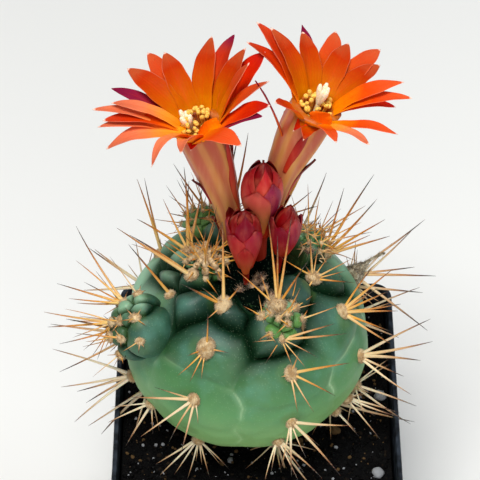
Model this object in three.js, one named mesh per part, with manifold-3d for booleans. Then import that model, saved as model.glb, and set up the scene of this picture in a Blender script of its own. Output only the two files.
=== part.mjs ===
// A ribbed ball cactus with pups, two open flowers and three buds, standing in a square nursery pot.
// Millimetres, +Z up. The origin is the middle of the underside of the pot.

import * as THREE from "three";
import { mergeVertices } from "three/addons/utils/BufferGeometryUtils.js";
import Module from "manifold-3d";

const wasm = await Module();
wasm.setup();

// Driving dimensions, in millimetres and degrees

const GAP = 0.3; // air between two pieces that touch

const POT = {
  side: 70, // outside of the rim
  height: 65,
  baseSide: 51,
  neckSide: 67.6, // just under the collar
  collar: 9, // height of the thicker band below the rim
  corner: 4.5,
  wall: 1.1,
  floor: 1.8,
  drainRadius: 2.4,
  drainOffset: 14, // of each drain hole from the middle, along X and along Y
};

const SOIL = {
  depth: 5.1, // of its surface below the rim
  ripple: 0.25,
  grit: 15, // stones and crumbs that stand out of it
  gritSize: [0.5, 1.0],
  seed: 11,
};

const STEM = {
  centre: [-2.65, 0, 84.6],
  axis: [0, 0, 1],
  across: 29.3, // radius at the waist
  upright: 24.4, // half of the height
  ribs: 8,
  firstRib: -115.9,
  ribSwing: 6, // how far the ribs crowd towards the front
  rows: [65, 42, 14, -12, -36], // latitudes of the areoles on a rib
  stagger: [0, -11, -6, -4, -10, -2, -12, 3], // added to the rows, rib by rib
  cellDrop: 5, // of a tubercle's middle below its areole
  crownDip: 4,
  crownWidth: 16,
  dome: [0.3, 1.2], // how far a tubercle swells, low on the body and near the crown
  ribGroove: [0.7, 2.3],
  rowGroove: [0.1, 2.1],
  grooveWidth: 1.1,
  fade: [20, 52], // latitudes between which the grooves deepen
  seed: 51,
};

const ROOT = [
  // radius and height of the neck and tap root, from inside the body down
  [7.2, 68],
  [7, 61],
  [5.4, 57],
  [3.8, 49],
  [2.6, 39],
  [1.5, 27],
];

const SPINES = {
  base: 0.42, // radius of a spine where it leaves its felt pad
  sunk: 1.1,
  spread: 0.5, // of the spines' feet round the middle of the pad
  radials: [6, 5], // on an upper and on a lower areole
  radialLean: 64, // from the normal of the surface
  radialLength: [8, 12.5],
  centralLean: [10, 30],
  centralLength: [16, 23],
  crownCentralLength: [19, 26],
  padRadius: 1.5,
  padRise: 0.8,
};

// Each pup: the middle of its head, the way its crown points, its radius and its long spines.
const PUPS = {
  pup_left: { centre: [-27.4, -10.2, 98.6], axis: [-0.95, -0.14, 0.3], radius: 7, length: [11, 18], seed: 21 },
  pup_front: { centre: [5.4, -15.2, 106.4], axis: [-0.1, -0.55, 0.83], radius: 5.6, length: [7, 12], seed: 22 },
  pup_crown: { centre: [-12.2, 0.6, 108.7], axis: [-0.35, -0.1, 0.93], radius: 3.9, length: [7, 12], seed: 23 },
  pup_back_left: { centre: [-13.2, 17.4, 105.4], axis: [-0.35, 0.45, 0.82], radius: 4.4, length: [8, 14], seed: 24 },
  pup_back_right: { centre: [12.6, 10.4, 105.6], axis: [0.5, 0.1, 0.86], radius: 3.8, length: [8, 14], seed: 25 },
};

const PUP_FORM = {
  ribs: 5,
  rows: [62, 20],
  dome: 0.9,
  groove: 1.1,
  grooveWidth: 0.9,
  needles: 8,
  padRadius: 0.95,
};

// Petals: azimuth round the flower's axis from +X, opening from the axis, and length from the throat.
const FLOWERS = {
  left: {
    base: [-4.0, 9.5, 103],
    bend: [-4.6, 10.0, 121],
    throat: [-14, 13.5, 142.3],
    axis: [-0.276, 0.05, 0.96],
    seed: 61,
    inner: [
      [75, 67, 22], [105, 72, 22.5], [136, 66, 22.5], [172, 60, 21.5], [200, 63, 23], [244, 68, 22.5],
      [268, 64, 22], [303, 72, 22], [338, 70, 22.5], [10, 55, 22], [50, 72, 22.5],
    ],
    outer: [
      [90, 60, 20], [119, 64, 23.5], [150, 69, 23.5], [180, 66, 24.5], [192, 73, 24], [212, 72, 23.5],
      [284, 82, 21], [322, 82, 21], [352, 63, 22.5], [28, 62, 23], [60, 58, 23],
    ],
  },
  right: {
    base: [5.2, 11, 103],
    bend: [4.4, 11.2, 121],
    throat: [13.4, 15.8, 145],
    axis: [0.276, 0.05, 0.96],
    seed: 62,
    inner: [
      [84, 72, 22.5], [104, 72, 22], [127, 71, 22.5], [146, 64, 22], [164, 62, 22], [228, 66, 22.5],
      [258, 52, 20], [276, 67, 22], [320, 66, 22.5], [352, 64, 23], [20, 74, 23], [46, 76, 22.5],
    ],
    outer: [
      [70, 76, 22.5], [97, 66, 23], [112, 62, 23.5], [143, 63, 24.3], [196, 84, 16], [214, 80, 20],
      [242, 84, 20], [296, 70, 22.5], [336, 76, 22], [5, 72, 23], [30, 84, 22], [57, 68, 23],
    ],
  },
};

const BLOOM = {
  sides: 10,
  tube: [2.7, 2.9, 3.1, 3.35, 3.8, 4.6, 5.6], // radii from the base to the rim of the throat
  cup: [[4.7, 0], [3.7, -3], [2.4, -6.5]], // radius and height of the hollow in the throat
  innerRoot: [4.95, 1.2], // radius and depth below the rim where the petals stand
  outerRoot: [4.85, 2.6],
  innerWidth: 5.5,
  outerWidth: 4.9,
  rootWidth: 2.2,
  thickness: 0.8,
  arch: 0.22,
  cupping: 0.45,
  scales: 7,
};

const STAMENS = {
  collar: [[1.05, -6.2], [2.0, -6.2], [2.6, -4.7], [1.05, -4.7]],
  count: 9,
  footRadius: 1.85,
  reach: [2.5, 3.5],
  height: [1.0, 3.2],
  anther: 0.75,
};

// Pistils: how far the style leans and which way, and the height of its head above the throat.
const PISTILS = {
  left: { lean: 2.2, towards: 178, height: 1.6 },
  right: { lean: 0.5, towards: 60, height: 3.2 },
};
const STYLE_RADIUS = 0.55;
const LOBES = { count: 5, length: 3.4, radius: 0.5, spread: 0.32 };

const BUDS = {
  bud_tall: { base: [0.5, 6.6, 102], tip: [0.9, 7.5, 135.4], radius: 4.4, bulb: 0.66, seed: 31 },
  bud_left: { base: [-2.6, -0.8, 102], tip: [-3.1, 0.2, 126.8], radius: 3.8, bulb: 0.9, seed: 32 },
  bud_right: { base: [5.6, 1.2, 102], tip: [7.9, 2.8, 125.4], radius: 3.4, bulb: 0.9, seed: 33 },
};

const WITHERED = {
  base: [22.5, 10.6, 92.8],
  bend: [29.5, 14.2, 98],
  tip: [33.2, 18.0, 101.2],
  radii: [2.6, 3.0, 2.5, 1.5, 1.1, 1.3, 1.6, 0.7],
  hairs: 16,
  seed: 41,
};

const COLOURS = {
  pot: 0x16181b,
  soil: 0x1d1916,
  skin: 0x5c9776,
  petal: 0xf0602a,
  pollen: 0xf0cc66,
  stigma: 0xf4edd2,
  bud: 0x8e2532,
  withered: 0xa59c8b,
};

// Small helpers

const vector = (list) => new THREE.Vector3(...list);
const radians = THREE.MathUtils.degToRad;
const lerp = THREE.MathUtils.lerp;
const smoothstep = THREE.MathUtils.smoothstep;
const FULL_TURN = 2 * Math.PI;
const GOLDEN_ANGLE = 137.5; // between one scale of a spiral and the next

// Random numbers from 0 to 1 that come out the same each time.
function draws(seed) {
  let state = (seed * 2654435761) % 4294967296;
  return () => {
    state = (state * 1664525 + 1013904223) % 4294967296;
    return state / 4294967296;
  };
}

const between = (draw, [low, high]) => lerp(low, high, draw());

// A closed mesh as a solid that can be joined and cut.
function solid(geometry) {
  const bare = new THREE.BufferGeometry();
  bare.setAttribute("position", geometry.getAttribute("position").clone());
  bare.setIndex(geometry.index);
  const merged = mergeVertices(bare, 1e-4);
  const mesh = new wasm.Mesh({
    numProp: 3,
    vertProperties: new Float32Array(merged.attributes.position.array),
    triVerts: new Uint32Array(merged.index.array),
  });
  return new wasm.Manifold(mesh);
}

// Triangles that are thinner than the weld are folded away, so that the mesh stays closed.
function meshOf(name, body, colour, roughness) {
  const raw = body.getMesh();
  const geometry = new THREE.BufferGeometry();
  geometry.setAttribute("position", new THREE.BufferAttribute(new Float32Array(raw.vertProperties), 3));
  geometry.setIndex(new THREE.BufferAttribute(new Uint32Array(raw.triVerts), 1));
  const welded = mergeVertices(geometry, 1e-3);
  const kept = [];
  const index = welded.index.array;
  for (let i = 0; i < index.length; i += 3) {
    const [a, b, c] = index.slice(i, i + 3);
    if (a !== b && b !== c && c !== a) kept.push(a, b, c);
  }
  welded.setIndex(kept);
  welded.computeVertexNormals();
  const finish = new THREE.MeshStandardMaterial({ color: colour, roughness, metalness: 0, flatShading: true });
  const mesh = new THREE.Mesh(welded, finish);
  mesh.name = name;
  return mesh;
}

// A skin over rings of points that run counterclockwise as seen from the last ring.
// A ring of one point is a tip. A ring of more points at either end is closed by a flat fan.
function loft(rings) {
  const points = [];
  const faces = [];
  const starts = [];
  for (const ring of rings) {
    starts.push(points.length);
    points.push(...ring);
  }
  const sides = Math.max(...rings.map((ring) => ring.length));
  const at = (row, column) => starts[row] + (column % rings[row].length);
  for (let row = 0; row < rings.length - 1; row += 1) {
    for (let k = 0; k < sides; k += 1) {
      const [a, b] = [at(row, k), at(row, k + 1)];
      const [c, d] = [at(row + 1, k + 1), at(row + 1, k)];
      if (a !== b) faces.push(a, b, c);
      if (c !== d) faces.push(a, c, d);
    }
  }
  const cap = (row, turn) => {
    const ring = rings[row];
    if (ring.length < 2) return;
    const middle = ring.reduce((sum, p) => sum.add(p), new THREE.Vector3()).divideScalar(ring.length);
    const hub = points.push(middle) - 1;
    for (let k = 0; k < sides; k += 1) {
      const pair = turn ? [at(row, k), at(row, k + 1)] : [at(row, k + 1), at(row, k)];
      faces.push(hub, ...pair);
    }
  };
  cap(0, false);
  cap(rings.length - 1, true);
  return surface(points, faces);
}

function surface(points, faces) {
  const geometry = new THREE.BufferGeometry().setFromPoints(points);
  geometry.setIndex(faces);
  return geometry;
}

// Two directions square to an axis, so that the three make a right-handed frame.
function frameAbout(axis) {
  const z = axis.clone().normalize();
  const x = new THREE.Vector3(1, 0, 0).addScaledVector(z, -z.x).normalize();
  const y = z.clone().cross(x);
  return { x, y, z };
}

function circle(middle, frame, radius, sides, wobble = () => 1) {
  return Array.from({ length: sides }, (_, k) => {
    const turn = (FULL_TURN * k) / sides;
    const reach = radius * wobble(turn, k);
    return middle
      .clone()
      .addScaledVector(frame.x, reach * Math.cos(turn))
      .addScaledVector(frame.y, reach * Math.sin(turn));
  });
}

// A three-sided needle whose foot is sunk in what it grows from.
function needle(foot, direction, length, radius, sunk) {
  const frame = frameAbout(direction);
  const start = foot.clone().addScaledVector(frame.z, -sunk);
  const tip = foot.clone().addScaledVector(frame.z, length);
  return solid(loft([circle(start, frame, radius, 3), [tip]]));
}

// A thin pointed blade along a path. The two faces are split into triangles alike.
// Each station is [share of the path, half width].
function blade(path, facing, stations, thickness, cupping) {
  const points = [];
  for (const [share, half] of stations) {
    const middle = path.getPoint(share);
    const along = path.getTangent(share);
    const side = along.clone().cross(facing).normalize();
    const face = side.clone().cross(along).normalize();
    const raise = (cupping * half) / stations[1][1];
    const edge = (sign) => middle.clone().addScaledVector(side, sign * half).addScaledVector(face, raise);
    points.push(edge(-1), middle.clone().addScaledVector(face, thickness / 2));
    points.push(edge(1), middle.clone().addScaledVector(face, -thickness / 2));
  }
  const tip = points.push(path.getPoint(1)) - 1;
  const faces = [0, 1, 2, 0, 2, 3];
  for (let row = 0; row < stations.length - 1; row += 1) {
    const [left, top, right, under] = [0, 1, 2, 3].map((k) => 4 * row + k);
    const [left2, top2, right2, under2] = [4, 5, 6, 7].map((k) => 4 * row + k);
    faces.push(left, left2, top2, left, top2, top, right, top, top2, right, top2, right2);
    faces.push(left, under, under2, left, under2, left2, right, right2, under2, right, under2, under);
  }
  const last = 4 * (stations.length - 1);
  for (let k = 0; k < 4; k += 1) faces.push(tip, last + ((k + 1) % 4), last + k);
  const made = solid(surface(points, faces));
  if (made.volume() > 0) return made;
  for (let i = 0; i < faces.length; i += 3) [faces[i + 1], faces[i + 2]] = [faces[i + 2], faces[i + 1]];
  return solid(surface(points, faces));
}

const union = (solids) => wasm.Manifold.union(solids);
const touches = (probe, blockers) => blockers.some((other) => probe.intersect(other).volume() > 1e-6);

// A head: a ball of tubercles in ribs, on which each direction has a longitude and a latitude.

class Head {
  constructor(form) {
    Object.assign(this, form);
    this.middle = vector(form.centre);
    this.frame = frameAbout(vector(form.axis));
    this.cells = [];
    for (let rib = 0; rib < this.ribs; rib += 1) {
      for (const row of this.rows) {
        const latitude = Math.min(row + this.stagger[rib], 86);
        const unit = this.unit(this.ribLongitude(rib), latitude - this.cellDrop);
        this.cells.push({ rib, latitude, longitude: this.ribLongitude(rib), unit });
      }
    }
  }

  ribLongitude(rib) {
    const even = this.firstRib + 90 + (360 * rib) / this.ribs;
    return even + this.ribSwing * Math.sin(radians(even)) - 90;
  }

  unit(longitude, latitude) {
    const [east, north] = [radians(longitude), radians(latitude)];
    const flat = Math.cos(north);
    return new THREE.Vector3(flat * Math.cos(east), flat * Math.sin(east), Math.sin(north));
  }

  toWorld(x, y, z) {
    const { frame } = this;
    return new THREE.Vector3().addScaledVector(frame.x, x).addScaledVector(frame.y, y).addScaledVector(frame.z, z);
  }

  normal(longitude, latitude) {
    const unit = this.unit(longitude, latitude);
    return this.toWorld(unit.x / this.across, unit.y / this.across, unit.z / this.upright).normalize();
  }

  // Swelling of the tubercle underneath, less the groove to its nearest neighbour.
  relief(unit, latitude) {
    const near = this.cells.map((cell) => ({ cell, far: cell.unit.distanceTo(unit) * this.across }));
    near.sort((a, b) => a.far - b.far);
    const high = smoothstep(latitude, ...this.fade);
    const [own] = near;
    let groove = 0;
    for (const other of near.slice(1, 6)) {
      const depth = other.cell.rib === own.cell.rib ? this.rowGroove : this.ribGroove;
      groove = Math.max(groove, lerp(...depth, high) * Math.exp(-(other.far - own.far) / this.grooveWidth));
    }
    const spread = (Math.PI * this.across) / this.ribs;
    const swell = lerp(...this.dome, high) * Math.max(0, 1 - (own.far / spread) ** 2);
    const dip = this.crownDip * Math.exp(-(((90 - latitude) / this.crownWidth) ** 2));
    return swell - groove - dip;
  }

  point(longitude, latitude, lift = 0) {
    const unit = this.unit(longitude, latitude);
    const { across, upright } = this;
    const ball = this.toWorld(unit.x * across, unit.y * across, unit.z * upright).add(this.middle);
    return ball.addScaledVector(this.normal(longitude, latitude), this.relief(unit, latitude) + lift);
  }

  // The body as a skin over rings of latitude.
  body(latitudes, columns, lift = 0) {
    const first = this.ribLongitude(0) - 180 / this.ribs;
    const rings = latitudes.map((latitude) => {
      if (Math.abs(latitude) === 90) return [this.point(first, latitude, lift)];
      return Array.from({ length: columns }, (_, k) => this.point(first + (360 * k) / columns, latitude, lift));
    });
    return solid(loft(rings));
  }

  // Up towards the crown, sideways, and straight out of the surface.
  local(longitude, latitude) {
    const out = this.normal(longitude, latitude);
    const crown = this.frame.z.clone().addScaledVector(out, -this.frame.z.dot(out)).normalize();
    return { out, crown, side: crown.clone().cross(out) };
  }

  direction(longitude, latitude, lean, turn) {
    const { out, crown, side } = this.local(longitude, latitude);
    const [tilt, round] = [radians(lean), radians(turn)];
    return out
      .multiplyScalar(Math.cos(tilt))
      .addScaledVector(crown, Math.sin(tilt) * Math.cos(round))
      .addScaledVector(side, Math.sin(tilt) * Math.sin(round));
  }

  // A felt pad: a low pointed cushion half sunk in the tubercle.
  pad(longitude, latitude, radius, rise) {
    const foot = this.point(longitude, latitude);
    const frame = frameAbout(this.normal(longitude, latitude));
    const below = foot.clone().addScaledVector(frame.z, -rise - 0.4);
    const above = foot.clone().addScaledVector(frame.z, rise);
    return solid(loft([[below], circle(foot, frame, radius, 5), [above]]));
  }
}

// Pot

function roundedSquare(side, corner, height, sideSteps = 1, wave = () => 0) {
  const points = [];
  const half = side / 2 - corner;
  const quarters = [[1, 1], [-1, 1], [-1, -1], [1, -1]];
  const arcSteps = 3;
  quarters.forEach(([sx, sy], quarter) => {
    for (let k = 0; k <= arcSteps; k += 1) {
      const turn = (Math.PI / 2) * (quarter + k / arcSteps);
      points.push([sx * half + corner * Math.cos(turn), sy * half + corner * Math.sin(turn)]);
    }
    const [nx, ny] = quarters[(quarter + 1) % 4];
    const turn = (Math.PI / 2) * (quarter + 1);
    for (let k = 1; k < sideSteps; k += 1) {
      const x = lerp(sx, nx, k / sideSteps) * half + corner * Math.cos(turn);
      points.push([x, lerp(sy, ny, k / sideSteps) * half + corner * Math.sin(turn)]);
    }
  });
  return points.map(([x, y]) => new THREE.Vector3(x, y, height + wave(x, y)));
}

// Outside of the pot's wall at a height, without the collar.
const potSide = (height) => lerp(POT.baseSide, POT.neckSide, height / (POT.height - POT.collar));

function pot() {
  const { side, height, collar, corner, wall, floor } = POT;
  const neck = height - collar;
  const inside = (outer) => outer - 2 * wall;
  const rings = [
    roundedSquare(POT.baseSide, corner, 0),
    roundedSquare(POT.neckSide, corner, neck),
    roundedSquare(side - 0.8, corner, neck),
    roundedSquare(side, corner, height),
    roundedSquare(inside(side), corner - wall, height),
    roundedSquare(inside(side - 0.8), corner - wall, neck + wall),
    roundedSquare(inside(POT.neckSide), corner - wall, neck - wall),
    roundedSquare(inside(potSide(floor)), corner - wall, floor),
  ];
  let body = solid(loft(rings));
  for (const [sx, sy] of [[1, 1], [-1, 1], [-1, -1], [1, -1]]) {
    const foot = new THREE.Vector3(sx * POT.drainOffset, sy * POT.drainOffset, -1);
    const frame = frameAbout(new THREE.Vector3(0, 0, 1));
    const head = foot.clone().setZ(floor + 1);
    const plug = loft([circle(foot, frame, POT.drainRadius, 10), circle(head, frame, POT.drainRadius, 10)]);
    body = body.subtract(solid(plug));
  }
  return body;
}

// Soil

function rootSkin(lift) {
  const frame = frameAbout(new THREE.Vector3(0, 0, 1));
  const [x, y] = STEM.centre;
  const rings = ROOT.map(([radius, height], k) => {
    const drop = k === ROOT.length - 1 ? lift : 0;
    return circle(new THREE.Vector3(x, y, height - drop), frame, radius + lift, 12);
  });
  return solid(loft(rings.reverse()));
}

function soil() {
  const { height, collar, corner, wall, floor } = POT;
  const neck = height - collar;
  const top = height - SOIL.depth;
  const fit = (outer) => outer - 2 * wall - 2 * GAP;
  const ripple = (x, y) => SOIL.ripple * (Math.sin(0.9 * x + 0.4 * y) + Math.sin(0.5 * x - 1.1 * y)) * 0.5;
  const tight = corner - wall;
  const lip = fit(POT.side - 0.8);
  const steps = 4;
  const rings = [
    roundedSquare(fit(potSide(floor)), tight, floor + GAP, steps),
    roundedSquare(fit(POT.neckSide) - 0.1, tight, neck - wall, steps),
    roundedSquare(lip, tight, neck + wall + GAP, steps),
    roundedSquare(lip, tight, top, steps),
  ];
  for (const share of [0.9, 0.74, 0.58, 0.42]) {
    rings.push(roundedSquare(lip * share, tight + 26 * (1 - share), top, steps, ripple));
  }
  const draw = draws(SOIL.seed);
  const pieces = [solid(loft(rings))];
  for (let k = 0; k < SOIL.grit; k += 1) {
    const size = between(draw, SOIL.gritSize);
    const reach = lip / 2 - 2;
    const [x, y] = [lerp(-reach, reach, draw()), lerp(-reach, reach, draw())];
    const far = Math.hypot(x - STEM.centre[0], y - STEM.centre[1]);
    const stone = new THREE.IcosahedronGeometry(size, 0);
    stone.rotateZ(FULL_TURN * draw());
    stone.scale(1.2, 0.9, 0.7);
    stone.translate(x, y, top + 0.15 * size);
    stone.deleteAttribute("normal");
    stone.deleteAttribute("uv");
    if (far > 15) pieces.push(solid(mergeVertices(stone, 1e-4)));
  }
  return union(pieces).subtract(rootSkin(GAP));
}

// Main stem

const STEM_LATITUDES = [
  -90, -74, -60, -46, -34, -22, -11, 0, 10, 19, 27, 34, 41, 47, 53, 59, 64, 69, 74, 79, 84, 90,
];
const STEM_COLUMNS = 48;

function stemBody(head, lift) {
  return union([head.body(STEM_LATITUDES, STEM_COLUMNS, lift), rootSkin(lift)]);
}

// The spines of one areole: a wheel of radials and a few long centrals that lean to the crown.
function areoleSpines(head, cell, draw) {
  const { longitude, latitude } = cell;
  const made = [];
  const crowned = latitude > 50;
  const radials = SPINES.radials[latitude > 0 ? 0 : 1];
  for (let k = 0; k < radials; k += 1) {
    const turn = (360 * (k + 0.5)) / radials + 16 * (draw() - 0.5);
    const lean = SPINES.radialLean + 14 * (draw() - 0.5);
    made.push({ turn, lean, length: between(draw, SPINES.radialLength) });
  }
  const centrals = latitude > 0 ? 2 : 1;
  for (let k = 0; k < centrals; k += 1) {
    const turn = (k - (centrals - 1) / 2) * 70 + 30 * (draw() - 0.5);
    const lean = between(draw, SPINES.centralLean);
    const length = between(draw, crowned ? SPINES.crownCentralLength : SPINES.centralLength);
    made.push({ turn, lean, length });
  }
  return made.map(({ turn, lean, length }) => {
    const apart = head.direction(longitude, latitude, 90, turn).multiplyScalar(SPINES.spread);
    const direction = head.direction(longitude, latitude, lean, turn);
    return { foot: head.point(longitude, latitude).add(apart), direction, length };
  });
}

// A spine is left out where its own shape, a little thicker and longer, would touch a neighbour.
function clearSpine({ foot, direction, length }, blockers) {
  const probe = needle(foot, direction, length + 1.2, SPINES.base + 2 * GAP, 0);
  if (touches(probe, blockers)) return [];
  return [needle(foot, direction, length, SPINES.base, SPINES.sunk)];
}

function stem(head, body, blockers) {
  const draw = draws(head.seed);
  const pieces = [body];
  for (const cell of head.cells) {
    const pad = head.pad(cell.longitude, cell.latitude, SPINES.padRadius, SPINES.padRise);
    const spines = areoleSpines(head, cell, draw);
    if (touches(pad, blockers)) continue;
    pieces.push(pad, ...spines.flatMap((spine) => clearSpine(spine, blockers)));
  }
  return union(pieces);
}

// Pups

function pupHead(form) {
  const { ribs, rows, dome, groove, grooveWidth } = PUP_FORM;
  return new Head({
    centre: form.centre,
    axis: form.axis,
    across: form.radius,
    upright: form.radius * 0.95,
    ribs,
    rows,
    firstRib: 0,
    ribSwing: 0,
    stagger: Array.from({ length: ribs }, (_, rib) => (rib % 2 ? -14 : 0)),
    cellDrop: 3,
    crownDip: 0.8,
    crownWidth: 20,
    dome: [dome, dome],
    ribGroove: [groove, groove],
    rowGroove: [groove, groove],
    grooveWidth,
    fade: [-90, 90],
  });
}

function pup(form, blockers) {
  const head = pupHead(form);
  const draw = draws(form.seed);
  const latitudes = [-90, -40, -8, 15, 32, 50, 68, 90];
  const body = head.body(latitudes, 12);
  const pieces = [];
  for (const cell of head.cells) {
    const pad = head.pad(cell.longitude, cell.latitude, PUP_FORM.padRadius, 0.6);
    if (!touches(pad, blockers)) pieces.push(pad);
  }
  const step = head.cells.length / PUP_FORM.needles;
  for (let k = 0; k < PUP_FORM.needles; k += 1) {
    const { longitude, latitude } = head.cells[Math.floor(k * step)];
    const spine = {
      foot: head.point(longitude, latitude),
      direction: head.direction(longitude, latitude, 10 + 30 * draw(), 360 * draw()),
      length: between(draw, form.length),
    };
    pieces.push(...clearSpine(spine, blockers));
  }
  return { body, pieces };
}

// Flowers

function flowerFrame(form) {
  const frame = frameAbout(vector(form.axis));
  const throat = vector(form.throat);
  const spoke = (turn) => {
    const round = radians(turn);
    return frame.x.clone().multiplyScalar(Math.cos(round)).addScaledVector(frame.y, Math.sin(round));
  };
  return { frame, throat, spoke };
}

function petal({ frame, throat, spoke }, [turn, open, length], width, [radius, drop]) {
  const out = spoke(turn);
  const root = throat.clone().addScaledVector(out, radius).addScaledVector(frame.z, -drop);
  const lean = radians(open);
  const tip = throat
    .clone()
    .addScaledVector(frame.z, length * Math.cos(lean))
    .addScaledVector(out, length * Math.sin(lean));
  const chord = tip.clone().sub(root);
  const side = out.clone().cross(frame.z);
  const facing = side.clone().cross(chord).normalize();
  if (facing.dot(frame.z) < 0) facing.negate();
  const middle = root.clone().lerp(tip, 0.5).addScaledVector(facing, BLOOM.arch * chord.length());
  const path = new THREE.QuadraticBezierCurve3(root, middle, tip);
  const half = width / 2;
  const stations = [[0, BLOOM.rootWidth / 2], [0.38, half * 0.92], [0.74, half * 0.86]];
  return blade(path, facing, stations, BLOOM.thickness, BLOOM.cupping);
}

function tube(form, { frame, throat }) {
  const path = new THREE.QuadraticBezierCurve3(vector(form.base), vector(form.bend), throat);
  const steps = BLOOM.tube.length - 1;
  const rings = BLOOM.tube.map((radius, k) => {
    const share = k / steps;
    const along = path.getTangent(share).lerp(frame.z, share ** 2);
    return circle(path.getPoint(share), frameAbout(along), radius, BLOOM.sides);
  });
  for (const [radius, height] of BLOOM.cup) {
    rings.push(circle(throat.clone().addScaledVector(frame.z, height), frame, radius, BLOOM.sides));
  }
  return { path, body: solid(loft(rings)) };
}

// Pointed scales that run up the tube and stand a little off it.
function tubeScales(path) {
  return Array.from({ length: BLOOM.scales }, (_, k) => {
    const share = 0.3 + 0.085 * k;
    const radius = lerp(2.9, 4.4, share ** 2);
    const frame = frameAbout(path.getTangent(share));
    const round = radians(GOLDEN_ANGLE * k + 60);
    const out = frame.x.clone().multiplyScalar(Math.cos(round)).addScaledVector(frame.y, Math.sin(round));
    const root = path.getPoint(share).addScaledVector(out, radius - 0.5);
    const middle = root.clone().addScaledVector(frame.z, 4).addScaledVector(out, 0.7);
    const tip = root.clone().addScaledVector(frame.z, 7.5).addScaledVector(out, 1.9);
    const along = new THREE.QuadraticBezierCurve3(root, middle, tip);
    return blade(along, out, [[0, 1.1], [0.4, 1.3], [0.75, 0.7]], 0.8, -0.3);
  });
}

function flower(form) {
  const place = flowerFrame(form);
  const { path, body } = tube(form, place);
  const inner = form.inner.map((row) => petal(place, row, BLOOM.innerWidth, BLOOM.innerRoot));
  const outer = form.outer.map((row) => petal(place, row, BLOOM.outerWidth, BLOOM.outerRoot));
  return union([body, ...tubeScales(path), ...inner, ...outer]);
}

// A ring in the throat with the filaments and their anthers, and a hole for the style.
function stamens(form, style) {
  const { frame, throat, spoke } = flowerFrame(form);
  const draw = draws(form.seed);
  const onAxis = ([radius, height]) => circle(throat.clone().addScaledVector(frame.z, height), frame, radius, 10);
  const { collar } = STAMENS;
  const disc = solid(loft([onAxis(collar[1]), onAxis(collar[2])]));
  const bore = solid(loft([onAxis([collar[0][0], collar[0][1] - 1]), onAxis([collar[3][0], collar[3][1] + 1])]));
  const pieces = [disc.subtract(bore)];
  for (let k = 0; k < STAMENS.count; k += 1) {
    const turn = (360 * (k + 0.3 * draw())) / STAMENS.count;
    const [reach, rise] = [between(draw, STAMENS.reach), between(draw, STAMENS.height)];
    const away = Math.abs(((turn - style.towards + 540) % 360) - 180);
    if (style.lean > 1 && away < 40) continue;
    const foot = throat.clone().addScaledVector(spoke(turn), STAMENS.footRadius).addScaledVector(frame.z, -5);
    const head = throat.clone().addScaledVector(spoke(turn), reach).addScaledVector(frame.z, rise);
    const direction = head.clone().sub(foot);
    pieces.push(needle(foot, direction, direction.length() + 0.4, 0.42, 0.2));
    const lie = frameAbout(direction);
    const size = STAMENS.anther;
    const ends = [-1.1, 1.1].map((end) => head.clone().addScaledVector(lie.z, end * size));
    pieces.push(solid(loft([[ends[0]], circle(head, lie, size, 5), [ends[1]]])));
  }
  return union(pieces);
}

// A style with a head of stigma lobes.
function pistil(form, { lean, towards, height }) {
  const { frame, throat, spoke } = flowerFrame(form);
  const foot = throat.clone().addScaledVector(frame.z, -6.5 + GAP);
  const neck = throat.clone().addScaledVector(frame.z, -3.6);
  const head = throat.clone().addScaledVector(spoke(towards), lean).addScaledVector(frame.z, height);
  const ring = (middle, radius) => circle(middle, frame, radius, 6);
  const pieces = [solid(loft([ring(foot, STYLE_RADIUS), ring(neck, STYLE_RADIUS), ring(head, STYLE_RADIUS)]))];
  for (let k = 0; k < LOBES.count; k += 1) {
    const out = spoke((360 * k) / LOBES.count + 20);
    const direction = frame.z.clone().addScaledVector(out, LOBES.spread).normalize();
    const lie = frameAbout(direction);
    const start = head.clone().addScaledVector(out, 0.3).addScaledVector(direction, -0.6);
    const along = (share) => start.clone().addScaledVector(direction, share * LOBES.length);
    const { radius } = LOBES;
    const rings = [circle(along(0), lie, radius * 0.7, 4), circle(along(0.7), lie, radius, 4), [along(1)]];
    pieces.push(solid(loft(rings)));
  }
  return union(pieces);
}

// Buds: a stalk that swells into a bulb of overlapping scales in a spiral.

function bud(form) {
  const base = vector(form.base);
  const tip = vector(form.tip);
  const axis = tip.clone().sub(base);
  const frame = frameAbout(axis);
  const draw = draws(form.seed);
  const turned = FULL_TURN * draw();
  const stalk = form.radius * 0.55;
  const start = 1 - form.bulb;
  const width = (share) => {
    if (share < start) return lerp(stalk * 0.9, stalk, share / start);
    const up = (share - start) / form.bulb;
    return lerp(stalk, form.radius, Math.sin(Math.min(up / 0.5, 1) * (Math.PI / 2))) * crownShare(up);
  };
  const crownShare = (up) => (up < 0.5 ? 1 : Math.sqrt(Math.max(0, 1 - ((up - 0.5) / 0.5) ** 2.4)));
  const scale = (share, turn) => {
    const spiral = (5 * (turn + turned)) / FULL_TURN + 4 * share;
    return 1 + 0.07 * (1 - Math.abs(2 * (spiral - Math.floor(spiral)) - 1)) - 0.035;
  };
  const shares = [0, start, start + 0.1 * form.bulb];
  for (const up of [0.22, 0.34, 0.46, 0.58, 0.7, 0.8, 0.88, 0.95]) shares.push(start + up * form.bulb);
  const rings = shares.map((share) =>
    circle(base.clone().addScaledVector(axis, share), frame, width(share), 15, (turn) => scale(share, turn)),
  );
  return solid(loft([...rings, [tip]]));
}

// Withered flower: a crumpled dry tube in a tuft of wool.

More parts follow.
